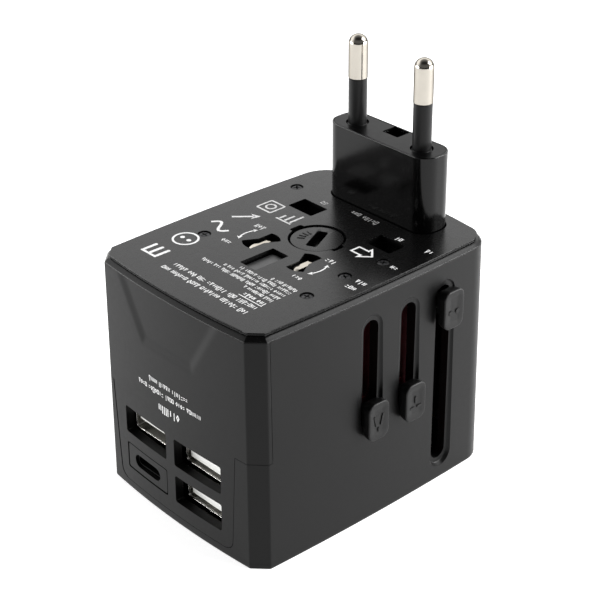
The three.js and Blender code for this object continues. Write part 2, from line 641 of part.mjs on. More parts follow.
// ------------------------------------------------------------------ slider knobs
function sliderKnob([y, z]) {
  const faceX = BODY_WIDTH / 2 + KNOB_PROUD;
  const footX = GUTTER_FLOOR_X + 0.4;
  return join(
    prismX(roundedRect(y, z - KNOB_FACE_DROP, ...KNOB_FACE, KNOB_CORNER), KNOB_BACK_X, faceX, 4),
    prismX(roundedRect(y, z, ...KNOB_FOOT, 1), footX, KNOB_BACK_X + 0.5, 2),
    prismX(roundedRect(y, z, ...KNOB_STEM, KNOB_STEM_RADIUS), ARM_END_X + GAP, footX + 0.3, 4));
}

// A comb-shaped wall behind the two shorter slots; each carriage's arm runs between two of its teeth.
function slideGuide() {
  const wall = box(SLIDE_GUIDE_X, [-9, 15.5], [SOCKET_PLATE[1] + GAP, GUIDE_BOTTOM_Z - GAP]);
  const armSlots = [US_ARM_Y, UK_ARM_Y].map(([low, high]) => box([0, FAR], [low - GAP, high + GAP],
    [CARRIAGE_BOTTOM_Z - GAP, CARRIAGE_TOP_Z + SHORT_TRAVEL + GAP]));
  return cut(solid(wall), ...armSlots);
}

add('slide_guide', slideGuide(), carriagePlastic());

// ------------------------------------------------------------------ Euro plug
const EU_TOP_Z = BODY_HEIGHT + EU_BLOCK_RISE;
const SLEEVE_SEAT = 3;          // how deep the sleeves sit in the block
const TAIL_Z = EU_TOP_Z - 12;

function euBlock() {
  const armHeight = 6;
  const arm = box([11, ARM_END_X], [16.0, EU_Y], [EU_BLOCK_BOTTOM_Z, EU_BLOCK_BOTTOM_Z + armHeight]);
  const body = join(prismZ(euBlockOutline(0), EU_BLOCK_BOTTOM_Z, EU_TOP_Z), arm);
  const pocketX = [PIN_FACE_X - 2.2, PIN_FACE_X + 2.2];
  const pocketY = [EU_Y + 0.2, EU_Y + EU_BLOCK[1] / 2 - 0.45];
  const pocket = box(pocketX, pocketY, [EU_TOP_Z - 10, FAR]);
  const holes = [-1, 1].flatMap((side) => {
    const x = PIN_FACE_X + side * EU_PIN_HALF_SPACING;
    return [
      cylinder(x, EU_Y, EU_PIN_RADIUS + 0.4, EU_TOP_Z - SLEEVE_SEAT, FAR),
      cylinder(x, EU_Y, 1.6, TAIL_Z - GAP, FAR),
    ];
  });
  return cut(body, pocket, ...holes);
}

function euPin(side) {
  const x = PIN_FACE_X + side * EU_PIN_HALF_SPACING;
  const tip = EU_TOP_Z + EU_PIN_LENGTH;
  const shoulder = EU_TOP_Z + EU_SLEEVE_LENGTH + GAP;
  const core = 1.3;
  const profile = [[0, TAIL_Z], [core, TAIL_Z], [core, shoulder], [EU_PIN_RADIUS, shoulder]];
  const steps = 5;
  for (let i = 0; i <= steps; i += 1) {
    const angle = (i / steps) * (Math.PI / 2);
    profile.push([
      i === steps ? 0 : EU_PIN_RADIUS * Math.cos(angle),
      tip - EU_PIN_RADIUS + EU_PIN_RADIUS * Math.sin(angle),
    ]);
  }
  return turned(x, EU_Y, profile);
}

function euSleeve(side) {
  const bottom = EU_TOP_Z - SLEEVE_SEAT + GAP;
  const top = EU_TOP_Z + EU_SLEEVE_LENGTH;
  const [inner, outer] = [1.6, EU_PIN_RADIUS - 0.05];
  return turned(PIN_FACE_X + side * EU_PIN_HALF_SPACING, EU_Y,
    [[inner, bottom], [outer, bottom], [outer, top], [inner, top], [inner, bottom]]);
}

add('eu_block', euBlock(), blockPlastic());
add('eu_pin_left', euPin(-1), nickel());
add('eu_pin_right', euPin(1), nickel());
add('eu_sleeve_left', euSleeve(-1), plastic(0x3c3c3e, 0.45));
add('eu_sleeve_right', euSleeve(1), plastic(0x3c3c3e, 0.45));
add('eu_knob', sliderKnob(EU_KNOB), facePlastic());

// ------------------------------------------------------------------ three-pin plug
// The carriage goes round the blade carriage and the fuse, so that each slides past the other.
function ukCarriage() {
  const limb = [-15.3, -11.3];
  const beam = [10.2, 14.9];
  const foot = [-14.2, -10.2];
  const pad = [PIN_FACE_X - 2.2, PIN_FACE_X + 2.2];
  const neckX = 14.5;
  const beamEndX = SLIDE_GUIDE_X[0] - GAP;
  const outline = polygon([
    [limb[0], foot[0]], [pad[1], foot[0]], [pad[1], -6], [pad[0], -6], [pad[0], foot[1]],
    [limb[1], foot[1]], [limb[1], beam[0]], [neckX, beam[0]], [neckX, UK_ARM_Y[0]],
    [ARM_END_X, UK_ARM_Y[0]], [ARM_END_X, UK_ARM_Y[1]], [beamEndX, UK_ARM_Y[1]], [beamEndX, beam[1]],
    [limb[0], beam[1]],
  ]);
  return prismZ(outline, CARRIAGE_BOTTOM_Z, CARRIAGE_TOP_Z);
}

function ukPins() {
  const foot = CARRIAGE_TOP_Z + GAP;
  const lineTop = BODY_HEIGHT - 4;
  const earthTop = BODY_HEIGHT - 1.4;
  const [left, right, earth] = ukPinShapes(0);
  return [prismZ(left, foot, lineTop, 2), prismZ(right, foot, lineTop, 2), prismZ(earth, foot, earthTop, 2)];
}

const [ukLeft, ukRight, ukEarth] = ukPins();
add('uk_carriage', ukCarriage(), carriagePlastic());
add('uk_line_pin_left', ukLeft, brass());
add('uk_line_pin_right', ukRight, brass());
add('uk_earth_pin', ukEarth, greyPlastic());
add('uk_knob', sliderKnob(UK_KNOB), facePlastic());

// ------------------------------------------------------------------ plug with swivelling blades
function usCarriage() {
  const bar = box([PIN_FACE_X - US_HALF_SPACING, ARM_END_X], US_ARM_Y, [CARRIAGE_BOTTOM_Z, CARRIAGE_TOP_Z]);
  const hubs = [-1, 1].map((side) => cylinder(PIN_FACE_X + side * US_HALF_SPACING, US_Y, HUB_RADIUS,
    CARRIAGE_BOTTOM_Z, CARRIAGE_TOP_Z));
  const bores = [-1, 1].map((side) => cylinder(PIN_FACE_X + side * US_HALF_SPACING, US_Y,
    PIVOT_BORE_RADIUS, 0, FAR, 16));
  return cut(join(bar, ...hubs), ...bores);
}

// The blade's tip is rounded across its width, and its pivot turns in the carriage's hub.
function usBlade(side) {
  const x = PIN_FACE_X + side * US_HALF_SPACING;
  const tip = BODY_HEIGHT - 0.9;
  const foot = CARRIAGE_TOP_Z + GAP;
  const round = 2.4;
  const outline = new THREE.Shape();
  outline.moveTo(US_Y - BLADE_WIDTH / 2, foot);
  outline.lineTo(US_Y + BLADE_WIDTH / 2, foot);
  outline.absarc(US_Y + BLADE_WIDTH / 2 - round, tip - round, round, 0, Math.PI / 2, false);
  outline.absarc(US_Y - BLADE_WIDTH / 2 + round, tip - round, round, Math.PI / 2, Math.PI, false);
  return join(
    prismX(outline, x - BLADE_THICKNESS / 2, x + BLADE_THICKNESS / 2, 5),
    cylinder(x, US_Y, HUB_RADIUS - 0.3, foot, foot + 1.4),
    cylinder(x, US_Y, PIVOT_BORE_RADIUS - GAP, CARRIAGE_BOTTOM_Z + 0.5, foot + 1, 16));
}

add('us_carriage', usCarriage(), carriagePlastic());
add('us_knob', sliderKnob(US_KNOB), facePlastic());
add('us_blade_left', usBlade(-1), nickel());
add('us_blade_right', usBlade(1), nickel());

// The origin lies under the middle of the whole object, knobs included.
const leftmost = -(BODY_WIDTH / 2 + SIDE_BULGE) * draftScale(0)[0];
const rightmost = BODY_WIDTH / 2 + KNOB_PROUD;
adapter.position.x = -(leftmost + rightmost) / 2;

export default adapter;
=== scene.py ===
import json
import math
import random

import bmesh
import bpy
from mathutils import Matrix, Vector


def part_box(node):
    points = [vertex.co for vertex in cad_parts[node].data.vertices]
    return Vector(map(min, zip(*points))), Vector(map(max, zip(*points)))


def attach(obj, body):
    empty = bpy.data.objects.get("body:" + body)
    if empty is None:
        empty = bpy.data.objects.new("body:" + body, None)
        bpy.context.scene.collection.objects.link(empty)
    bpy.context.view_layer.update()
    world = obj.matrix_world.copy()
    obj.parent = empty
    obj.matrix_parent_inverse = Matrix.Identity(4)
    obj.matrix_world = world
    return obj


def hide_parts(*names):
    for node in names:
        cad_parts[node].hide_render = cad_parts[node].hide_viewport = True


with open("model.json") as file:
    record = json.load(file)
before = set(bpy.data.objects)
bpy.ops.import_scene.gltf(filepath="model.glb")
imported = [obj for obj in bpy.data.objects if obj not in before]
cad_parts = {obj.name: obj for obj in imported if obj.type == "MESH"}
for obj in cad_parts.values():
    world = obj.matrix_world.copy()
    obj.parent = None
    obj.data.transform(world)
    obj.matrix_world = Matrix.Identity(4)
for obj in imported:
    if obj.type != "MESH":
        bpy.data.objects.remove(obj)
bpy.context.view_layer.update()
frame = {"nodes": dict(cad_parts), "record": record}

# The looks of the travel adapter. Pieces are modelled in millimetres about the housing's centre line,
# which lies a little to one side of the frame's origin, and finish_piece() puts them into the frame.
scene = bpy.context.scene
MM = 0.001


def mm_box(node):
    """A CAD node's lowest and highest corners in millimetres, about the housing's centre line."""
    low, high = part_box(node)
    return low / MM - HOUSING_CENTRE, high / MM - HOUSING_CENTRE


def centre(node):
    low, high = mm_box(node)
    return (low + high) / 2


HOUSING_CENTRE = Vector((sum(corner.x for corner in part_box("pin_plate")) / (2 * MM), 0, 0))
INTO_FRAME = Matrix.Scale(MM, 4) @ Matrix.Translation(HOUSING_CENTRE)

# ------------------------------------------------------------------ sizes, millimetres
WALL = 2.0
FRONT_BULGE = 1.1               # crown of the front and back faces
SIDE_BULGE = 0.6                # crown of the two sides
FRONT_CHAMFER = 2.9
BACK_RADIUS = 5.5
BACK_LEFT_RADIUS = 8.5          # in the photo this corner looks rounder; the CAD has 5.5 at both
CORNER_SOFTNESS = 0.6           # round where a flat meets the chamfer
PLATE_LOW, PLATE_HIGH = mm_box("pin_plate")
SHELL_LOW, SHELL_HIGH = mm_box("main_shell")
PIN_FACE_Z = PLATE_HIGH.z
SHELL_TOP = SHELL_HIGH.z
HALF_X = (PLATE_HIGH.x - PLATE_LOW.x) / 2 - SIDE_BULGE
HALF_Y = (PLATE_HIGH.y - PLATE_LOW.y) / 2 - FRONT_BULGE
DRAFT = HALF_X * (-SHELL_LOW.x / (HALF_X + SIDE_BULGE) - 1)   # how far each side leans out downwards
RIM_RADIUS = 0.08               # round of the shell's and the cover's top edge
SEAM = 0.1                      # open line between mouldings
EDGE = 0.1                      # round of the mouldings' own edges
FAR = 150

# ------------------------------------------------------------------ mesh tools


def arc(x, y, radius, start, end, steps):
    """Points on an arc, both ends included, angles in degrees."""
    angles = [math.radians(start + (end - start) * i / steps) for i in range(steps + 1)]
    return [(x + radius * math.cos(a), y + radius * math.sin(a)) for a in angles]


def circle(x, y, radius, steps=48):
    return arc(x, y, radius, 0, 360, steps)[:-1]


def rounded_rect(x, y, width, height, radius, steps=8):
    left, right = x - width / 2 + radius, x + width / 2 - radius
    low, high = y - height / 2 + radius, y + height / 2 - radius
    points = arc(right, low, radius, -90, 0, steps) + arc(right, high, radius, 0, 90, steps)
    points += arc(left, high, radius, 90, 180, steps) + arc(left, low, radius, 180, 270, steps)
    return tidy(points)


def tidy(points):
    """The points without any that repeat their neighbour."""
    return [p for i, p in enumerate(points) if math.dist(p, points[i - 1]) > 1e-6]


def crowned(start, end, rise, steps):
    """Points along a side from start to end, both included, crowned outwards by the rise."""
    start, end = Vector(start), Vector(end)
    along = end - start
    outward = Vector((along.y, -along.x)).normalized()
    return [tuple(start + along * t + outward * rise * (1 - (2 * t - 1) ** 2))
            for t in (i / steps for i in range(steps + 1))]


def soften(points, corners, steps=4):
    """The points with some corners, given as index: radius, turned into arcs."""
    result = []
    for i, point in enumerate(points):
        if i not in corners:
            result.append(point)
            continue
        here = Vector(point)
        back = (Vector(points[i - 1]) - here).normalized()
        on = (Vector(points[(i + 1) % len(points)]) - here).normalized()
        half = back.angle(on) / 2
        reach = corners[i] / math.tan(half)
        centre = here + (back + on).normalized() * corners[i] / math.sin(half)
        first, last = here + back * reach - centre, here + on * reach - centre
        turn = first.angle_signed(last)
        for k in range(steps + 1):
            result.append(tuple(centre + Matrix.Rotation(-turn * k / steps, 2) @ first))
    return result


def loft(rings):
    """A closed solid through rings that have the same number of points, as an object in millimetres."""
    bm = bmesh.new()
    loops = [[bm.verts.new(p) for p in ring] for ring in rings]
    for lower, upper in zip(loops, loops[1:]):
        for i in range(len(lower)):
            bm.faces.new((lower[i - 1], lower[i], upper[i], upper[i - 1]))
    bm.faces.new(list(reversed(loops[0])))
    bm.faces.new(loops[-1])
    return as_object(bm)


def as_object(bm):
    bmesh.ops.recalc_face_normals(bm, faces=bm.faces)
    mesh = bpy.data.meshes.new("solid")
    bm.to_mesh(mesh)
    bm.free()
    solid = bpy.data.objects.new("solid", mesh)
    scene.collection.objects.link(solid)
    return solid


PLANES = {
    "z": lambda u, v, w: (u, v, w),       # an outline in X and Y
    "x": lambda u, v, w: (w, u, v),       # an outline in Y and Z
    "y": lambda u, v, w: (u, w, v),       # an outline in X and Z
}


def prism(outline, start, end, axis="z"):
    """An outline carried from start to end along an axis."""
    place = PLANES[axis]
    return loft([[place(u, v, w) for u, v in outline] for w in (start, end)])


def box(x, y, z):
    """A block between two X, two Y and two Z places."""
    return prism([(x[0], y[0]), (x[1], y[0]), (x[1], y[1]), (x[0], y[1])], z[0], z[1])


def turned(x, y, profile, steps=48):
    """A solid turned about a vertical axis from (radius, z) points that start and end on it."""
    bm = bmesh.new()
    rings = []
    for radius, z in profile:
        if radius == 0:
            rings.append([bm.verts.new((x, y, z))])
        else:
            rings.append([bm.verts.new((*p, z)) for p in circle(x, y, radius, steps)])
    for lower, upper in zip(rings, rings[1:]):
        for i in range(steps):
            corners = [lower[(i - 1) % len(lower)], lower[i % len(lower)],
                       upper[i % len(upper)], upper[(i - 1) % len(upper)]]
            bm.faces.new(list(dict.fromkeys(corners)))
    return as_object(bm)


def apply_modifiers(solid):
    depsgraph = bpy.context.evaluated_depsgraph_get()
    mesh = bpy.data.meshes.new_from_object(solid.evaluated_get(depsgraph))
    solid.modifiers.clear()
    solid.data = mesh
    return solid


def combine(solid, others, operation):
    for other in others:
        modifier = solid.modifiers.new(operation, "BOOLEAN")
        modifier.operation = operation
        modifier.solver = "EXACT"
        modifier.object = other
        apply_modifiers(solid)
        bpy.data.objects.remove(other)
    return solid


def cut(solid, *others):
    return combine(solid, others, "DIFFERENCE")


def join(solid, *others):
    return combine(solid, others, "UNION")


def common(solid, *others):
    return combine(solid, others, "INTERSECT")


def bevel(solid, width, segments=3, angle=35):
    """Rounds every edge sharper than the angle."""
    bm = bmesh.new()
    bm.from_mesh(solid.data)
    bmesh.ops.dissolve_degenerate(bm, dist=1e-4, edges=bm.edges)
    bm.to_mesh(solid.data)
    bm.free()
    modifier = solid.modifiers.new("rounded edges", "BEVEL")
    modifier.width = width
    modifier.segments = segments
    modifier.limit_method = "ANGLE"
    modifier.angle_limit = math.radians(angle)
    modifier.miter_outer = "MITER_ARC"
    return apply_modifiers(solid)


def shade(obj, angle=35):
    """Smooth shading with edges sharper than the angle left crisp."""
    obj.data.shade_smooth()
    obj.data.set_sharp_from_angle(angle=math.radians(angle))
    modifier = obj.modifiers.new("weighted normals", "WEIGHTED_NORMAL")
    modifier.keep_sharp = True


def finish_piece(piece, name, material, body, nodes=()):
    """Puts a solid into the frame under its name, on its body, in place of its CAD nodes."""
    piece.name = name
    piece.data.name = name
    piece.data.transform(INTO_FRAME)
    piece.data.materials.clear()
    piece.data.materials.append(material)
    shade(piece)
    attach(piece, body)
    if nodes:
        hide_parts(*nodes)
    return piece


# ------------------------------------------------------------------ the housing's form


def draft_scale(z):
    lean = 2 * DRAFT * (1 - z / PIN_FACE_Z)
    return 1 + lean / (2 * HALF_X), 1 + lean / (2 * HALF_Y)


def body_outline(inset, front_steps=36):
    """The housing's plan outline, moved inwards all round by the inset."""
    hx, hy = HALF_X - inset, HALF_Y - inset
    chamfer = FRONT_CHAMFER - inset * (2 - math.sqrt(2))
    radius, left_radius = BACK_RADIUS - inset, BACK_LEFT_RADIUS - inset
    side_steps = 36
    arc_steps = 12
    front = crowned((-hx + chamfer, -hy), (hx - chamfer, -hy), FRONT_BULGE, front_steps)
    right = crowned((hx, -hy + chamfer), (hx, hy - radius), SIDE_BULGE, side_steps)
    back = crowned((hx - radius, hy), (-hx + left_radius, hy), FRONT_BULGE, side_steps)
    left = crowned((-hx, hy - left_radius), (-hx, -hy + chamfer), SIDE_BULGE, side_steps)
    back_right = arc(hx - radius, hy - radius, radius, 0, 90, arc_steps)[1:-1]
    back_left = arc(-hx + left_radius, hy - left_radius, left_radius, 90, 180, arc_steps)[1:-1]
    points = front + right + back_right + back + back_left + left
    soft = max(CORNER_SOFTNESS - inset, 0.1)
    corners = {0: soft, front_steps: soft, front_steps + 1: soft, len(points) - 1: soft}
    return soften(points, corners)


def body_ring(z, inset, front_steps=36, drafted=True):
    sx, sy = draft_scale(z) if drafted else (1, 1)
    return [(x * sx, y * sy, z) for x, y in body_outline(inset, front_steps)]


def front_surface(x, z):
    """Y of the crowned front face at a place on it."""
    sx, sy = draft_scale(z)
    t = x / sx / (HALF_X - FRONT_CHAMFER)
    return -(HALF_Y + FRONT_BULGE * (1 - t * t)) * sy


def rounded_levels(bottom, top, radius, steps=4):
    """Heights and insets of a wall whose upper edge is rounded."""
    levels = [(bottom, 0)]
    for k in range(steps + 1):
        a = math.radians(90 * k / steps)
        levels.append((top - radius + radius * math.sin(a), radius * (1 - math.cos(a))))
    return levels


# ------------------------------------------------------------------ materials


def node_material(name):
    material = bpy.data.materials.new(name)
    material.use_nodes = True
    nodes, links = material.node_tree.nodes, material.node_tree.links
    return material, nodes, links, nodes["Principled BSDF"]


def noise(nodes, links, scale, detail=3.0, roughness=0.5, stretch=(1, 1, 1)):
    """A noise texture in object space; the scale is in features per metre."""
    coordinates = nodes.new("ShaderNodeTexCoord")
    mapping = nodes.new("ShaderNodeMapping")
    mapping.inputs["Scale"].default_value = stretch
    texture = nodes.new("ShaderNodeTexNoise")
    texture.inputs["Scale"].default_value = scale
    texture.inputs["Detail"].default_value = detail
    texture.inputs["Roughness"].default_value = roughness
    links.new(coordinates.outputs["Object"], mapping.inputs["Vector"])
    links.new(mapping.outputs["Vector"], texture.inputs["Vector"])
    return texture


def ramp(nodes, links, source, low, high, start=0.3, end=0.7):
    """Colours from low to high as the source value goes from start to end."""
    element = nodes.new("ShaderNodeValToRGB")
    element.color_ramp.elements[0].position = start
    element.color_ramp.elements[1].position = end
    element.color_ramp.elements[0].color = (*low, 1)
    element.color_ramp.elements[1].color = (*high, 1)
    links.new(source, element.inputs["Fac"])
    return element.outputs["Color"]


def span(nodes, links, source, low, high):
    """A value from low to high as the source value goes from 0.3 to 0.7."""
    element = nodes.new("ShaderNodeMapRange")
    element.inputs["From Min"].default_value = 0.3
    element.inputs["From Max"].default_value = 0.7
    element.inputs["To Min"].default_value = low
    element.inputs["To Max"].default_value = high
    links.new(source, element.inputs["Value"])
    return element.outputs["Result"]


def grey(value):
    return (value, value, value * 1.02)


def moulded_plastic(name, color, roughness, grain=3200, depth=0.00001, specular=0.5, tint=0.12):
    """Moulded plastic: a fine spark-eroded grain, a slow drift in tone and in polish."""
    material, nodes, links, shader = node_material(name)
    drift = noise(nodes, links, 60, 2)
    low = tuple(c * (1 - tint) for c in color)
    high = tuple(c * (1 + tint) for c in color)
    links.new(ramp(nodes, links, drift.outputs["Fac"], low, high), shader.inputs["Base Color"])
    polish = noise(nodes, links, 900, 4)
    links.new(span(nodes, links, polish.outputs["Fac"], roughness * 0.92, roughness * 1.08),
              shader.inputs["Roughness"])
    fine = noise(nodes, links, grain, 4, 0.6)
    bump = nodes.new("ShaderNodeBump")
    bump.inputs["Strength"].default_value = 0.5
    bump.inputs["Distance"].default_value = depth
    links.new(fine.outputs["Fac"], bump.inputs["Height"])
    links.new(bump.outputs["Normal"], shader.inputs["Normal"])
    shader.inputs["Specular IOR Level"].default_value = specular
    return material


def plated_metal(name, color, roughness, stretch=(1, 1, 1), grain=5000, depth=0.000003, edge=1.0):
    """Plated or drawn metal: fine marks, drawn out along one axis; edge dims it at grazing angles."""
    material, nodes, links, shader = node_material(name)
    shader.inputs["Metallic"].default_value = 1
    shader.inputs["Specular Tint"].default_value = (edge, edge, edge, 1)
    marks = noise(nodes, links, grain, 3, 0.6, stretch)
    cloud = noise(nodes, links, 250, 2)
    low = tuple(c * 0.9 for c in color)
    links.new(ramp(nodes, links, cloud.outputs["Fac"], low, color), shader.inputs["Base Color"])
    links.new(span(nodes, links, marks.outputs["Fac"], roughness * 0.8, roughness * 1.3),
              shader.inputs["Roughness"])
    bump = nodes.new("ShaderNodeBump")
    bump.inputs["Strength"].default_value = 0.35
    bump.inputs["Distance"].default_value = depth
    links.new(marks.outputs["Fac"], bump.inputs["Height"])
    links.new(bump.outputs["Normal"], shader.inputs["Normal"])
    return material


SHELL = moulded_plastic("charcoal_moulding", grey(0.002), 0.37, specular=0.17)
PANEL = moulded_plastic("charcoal_panel", grey(0.002), 0.37, specular=0.17)
TOP_PANEL = moulded_plastic("charcoal_pin_plate", grey(0.002), 0.27, 1600, 0.0000015, specular=0.17)
KNOB = moulded_plastic("knob_grain", grey(0.003), 0.42, 2400, 0.00003, specular=0.22)
BLOCK = moulded_plastic("black_plug_block", grey(0.001), 0.15, 1800, 0.000002, specular=0.235)
BLOCK_TOP = moulded_plastic("matte_plug_block_top", grey(0.002), 0.3, 2200, 0.000003, specular=0.065)
INNER = moulded_plastic("black_inner", grey(0.002), 0.55, specular=0.15)
SLEEVE = moulded_plastic("pin_sleeve_grey", grey(0.006), 0.32, 2600, 0.000006, specular=0.19)
CARRIAGE = moulded_plastic("dark_red_carriage", (0.05, 0.005, 0.007), 0.6, specular=0.1)
GREY_PIN = moulded_plastic("grey_plastic", grey(0.02), 0.36, specular=0.4)
WHITE = moulded_plastic("white_plastic", (0.8, 0.8, 0.77), 0.38, tint=0.03)
INK = moulded_plastic("white_print", (0.85, 0.85, 0.85), 0.55, tint=0.03)
NICKEL = plated_metal("bright_nickel", (0.47, 0.44, 0.39), 0.08, (1, 1, 0.08), edge=0.1)
STEEL = plated_metal("pressed_steel", (0.6, 0.59, 0.56), 0.2, (1, 1, 1), 60000, 0.0000001)
BRASS = plated_metal("rolled_brass", (0.62, 0.43, 0.18), 0.26, (1, 1, 0.1))
BLACK_STEEL = plated_metal("black_oxide_steel", (0.06, 0.06, 0.062), 0.5)
# the USB-C shell's sheet is near black: painted shade in place of bright steel, darkening the inside of the
# port
PORT_SHEET_PAINTED_SHADE = plated_metal("port_sheet_painted_shade", (0.012, 0.012, 0.012), 0.4)
GOLD = plated_metal("gold_contacts", (0.75, 0.53, 0.2), 0.2)
BOARD = moulded_plastic("green_board", (0.012, 0.09, 0.03), 0.4)
FERRITE = moulded_plastic("ferrite_grey", grey(0.03), 0.6, 1500, 0.00003)
TAPE = moulded_plastic("yellow_tape", (0.6, 0.38, 0.03), 0.35, tint=0.08)
CAPACITOR = moulded_plastic("blue_sleeve", (0.01, 0.02, 0.1), 0.3)

SLOT_MATERIALS = {
    "housing": SHELL, "front_panel": PANEL, "top_panel": TOP_PANEL, "plug_block": BLOCK,
    "inner_plastic": INNER, "carriage": CARRIAGE, "knob": KNOB, "grey_plastic": GREY_PIN,
    "white_plastic": WHITE, "pin_sleeve": SLEEVE, "nickel": NICKEL, "brass": BRASS, "steel": STEEL,
    "circuit_board": BOARD, "ferrite": FERRITE, "winding_tape": TAPE, "capacitor_sleeve": CAPACITOR,
}

# ------------------------------------------------------------------ main shell and front cover
COVER_REACH = 28.2
COVER_STEP_Z = 24.6
TONGUE_BOTTOM_Z = 2.0
TONGUE_LEFT = (-20.4, -18.7)    # X at the step and at the bottom
TONGUE_RIGHT = (18.4, 17.2)
SLOT_WIDTH = 4.0
GUTTER_FLOOR_X = HALF_X + 0.05
# heights above the gutter's floor and the gutter's width there
GUTTER_PROFILE = [(0, 4.3), (0.08, 4.9), (0.25, 5.4), (0.5, 5.8), (0.9, 6.2), (1.5, 6.6), (4, 8)]
DEEP_GUTTER_PROFILE = [(0, 5.0), (0.08, 5.3), (0.35, 5.7), (0.8, 6.3), (1.5, 7.1), (4, 9.5)]
DEEP_GUTTER_DROP = 0.15         # the long slot's gutter is this much deeper
GUTTER_RISE = 0.24              # the short slots' gutters grow shallower by this much towards their tops
GUTTER_RISE_START_Z = 34
GUTTER_RISE_HEIGHT = 12
GUTTER_END_WIDTH = 3.1          # a gutter of this width would end level with its slot
LIP_BACK = 0.1                  # the slots' lips reach this far behind the wall
LIP_WIDTH = 0.8
SLOT_TOP_Z = 45.9
SLOT_ENDS_BELOW_STEM = 1.6
KNOB_FACE_DROP = 0.4            # the knob cap's middle is this far below its stem's
DROP_TRAVELS = {"us_knob": 0, "uk_knob": 0, "eu_knob": 35.8}     # how far each knob slides down from rest
LEFT_SEAM_WIDER = 3.6           # the seam left of the ports is the wider line, by this factor


def cavity():
    return loft([body_ring(-5, WALL), body_ring(PIN_FACE_Z + 5, WALL)])


def cover_region(margin):
    """The part of the wall that belongs to the front cover, grown by the margin: two solids."""
    step, bottom = COVER_STEP_Z - margin, TONGUE_BOTTOM_Z - margin
    upper = [(-FAR, step), (FAR, step), (FAR, FAR), (-FAR, FAR)]
    left = margin * LEFT_SEAM_WIDER
    tongue = [
        (TONGUE_LEFT[1] - left, bottom), (TONGUE_RIGHT[1] + margin, bottom),
        (TONGUE_RIGHT[0] + margin, step + 1), (TONGUE_LEFT[0] - left, step + 1),
    ]
    tongue = soften(tongue, {0: 2.4, 1: 2.4}, 6)
    reach = -COVER_REACH + margin
    return join(prism(upper, -FAR, reach, "y"), prism(tongue, -FAR, reach, "y"))


def slot_outline(knob, width, margin):
    """The round-ended slot that a knob runs in, grown by the margin at its two ends."""
    low, high = mm_box(knob)
    y, z = (low.y + high.y) / 2, (low.z + high.z) / 2 + KNOB_FACE_DROP
    bottom = z - DROP_TRAVELS[knob] - SLOT_ENDS_BELOW_STEM - margin
    top = SLOT_TOP_Z + margin
    return rounded_rect(y, (top + bottom) / 2, width, top - bottom, width / 2 - 0.001, 12)


def gutter(knob):
    """A shallow channel round a slot, with a soft floor and flared sides."""
    deep = knob == "eu_knob"

    def floor_x(v):
        if deep:
            return GUTTER_FLOOR_X - DEEP_GUTTER_DROP
        return GUTTER_FLOOR_X + GUTTER_RISE * min(max((v - GUTTER_RISE_START_Z) / GUTTER_RISE_HEIGHT, 0), 1)

    rings = []
    for rise, width in DEEP_GUTTER_PROFILE if deep else GUTTER_PROFILE:
        margin = (width - GUTTER_END_WIDTH) / 2
        rings.append([(floor_x(v) + rise, u, v) for u, v in slot_outline(knob, width, margin)])
    return loft(rings)


def main_shell():
    foot = 0.35
    levels = [(0, foot), (foot * 0.3, foot * 0.3), (foot, 0)]
    levels += rounded_levels(foot + 0.5, SHELL_TOP, RIM_RADIUS)
    shell = loft([body_ring(z, inset) for z, inset in levels])
    cut(shell, cavity(), cover_region(SEAM))
    wall = HALF_X - WALL
    for knob in DROP_TRAVELS:
        lip = slot_outline(knob, SLOT_WIDTH + 2 * LIP_WIDTH, LIP_WIDTH)
        join(shell, prism(lip, wall - LIP_BACK, wall + LIP_WIDTH, "x"))
        cut(shell, gutter(knob), prism(slot_outline(knob, SLOT_WIDTH, 0), 0, FAR, "x"))
    return bevel(shell, EDGE)


finish_piece(main_shell(), "shell_moulding", SHELL, "housing", ["main_shell"])

PORTS = ("usb_a_shell_1", "usb_a_shell_2", "usb_a_shell_3", "usb_c_bezel")
PORT_OPENING = (14.0, 6.3)


def port_centre(node):
    low, high = mm_box(node)
    return (low.x + high.x) / 2, (low.z + high.z) / 2


def facet_depth(x, z):
    """How far the shallow thumb facet above the ports is let into the front face."""
    depth, slope = 0.32, 2.4
    top, bottom = (50.6, 15.6), (38.0, 8.0)   # height and half width at the facet's two ends
    lean = (top[1] - bottom[1]) / (top[0] - bottom[0])
    side = (bottom[1] + lean * (z - bottom[0]) - abs(x + 1)) / math.hypot(1, lean)
    edge = min(side, z - bottom[0])
    t = min(max(edge / slope, 0), 1)
    return depth * t * t * (3 - 2 * t)


def dented(ring):
    """A ring of the cover's outside with the thumb facet pressed into its front."""
    result = []
    for x, y, z in ring:
        on_front = y < -HALF_Y and abs(x) < HALF_X - FRONT_CHAMFER
        result.append((x, y + facet_depth(x, z) if on_front else y, z))
    return result


def front_cover():
    steps = 100
    levels = [(-1, 0)] + [(37 + 0.42 * k, 0) for k in range(33)]     # close together over the facet
    levels += rounded_levels(SHELL_TOP - 0.5, SHELL_TOP, RIM_RADIUS)[1:]
    cover = loft([dented(body_ring(z, inset, steps)) for z, inset in levels])
    cut(cover, cavity())
    common(cover, cover_region(0))
    for node in PORTS:
        cut(cover, prism(rounded_rect(*port_centre(node), *PORT_OPENING, 0.5), -FAR, 0, "y"))
    return bevel(cover, EDGE)


finish_piece(front_cover(), "front_cover_moulding", PANEL, "housing", ["front_cover"])

# ------------------------------------------------------------------ pin plate
BLADE_SWING = 30
BOW_TIE_RADIUS = 3.9
BOW_TIE_WAIST = 1.1
FUSE_OPENING_RADIUS = 5.95
SCREW_HOLE_RADIUS = 1.4


def bow_tie(x, y, start, end):
    """The space a flat blade sweeps as it turns about its middle between two angles from +Y."""
    edge = math.degrees(math.asin(BOW_TIE_WAIST / BOW_TIE_RADIUS))
    waist = BOW_TIE_WAIST / math.cos(math.radians(end - start) / 2)
    points = []
    for side in (90, 270):
        points += arc(x, y, BOW_TIE_RADIUS, side + start - edge, side + end + edge, 10)
        points += arc(x, y, waist, side + 90 + (start + end) / 2, 0, 1)[:1]
    return points


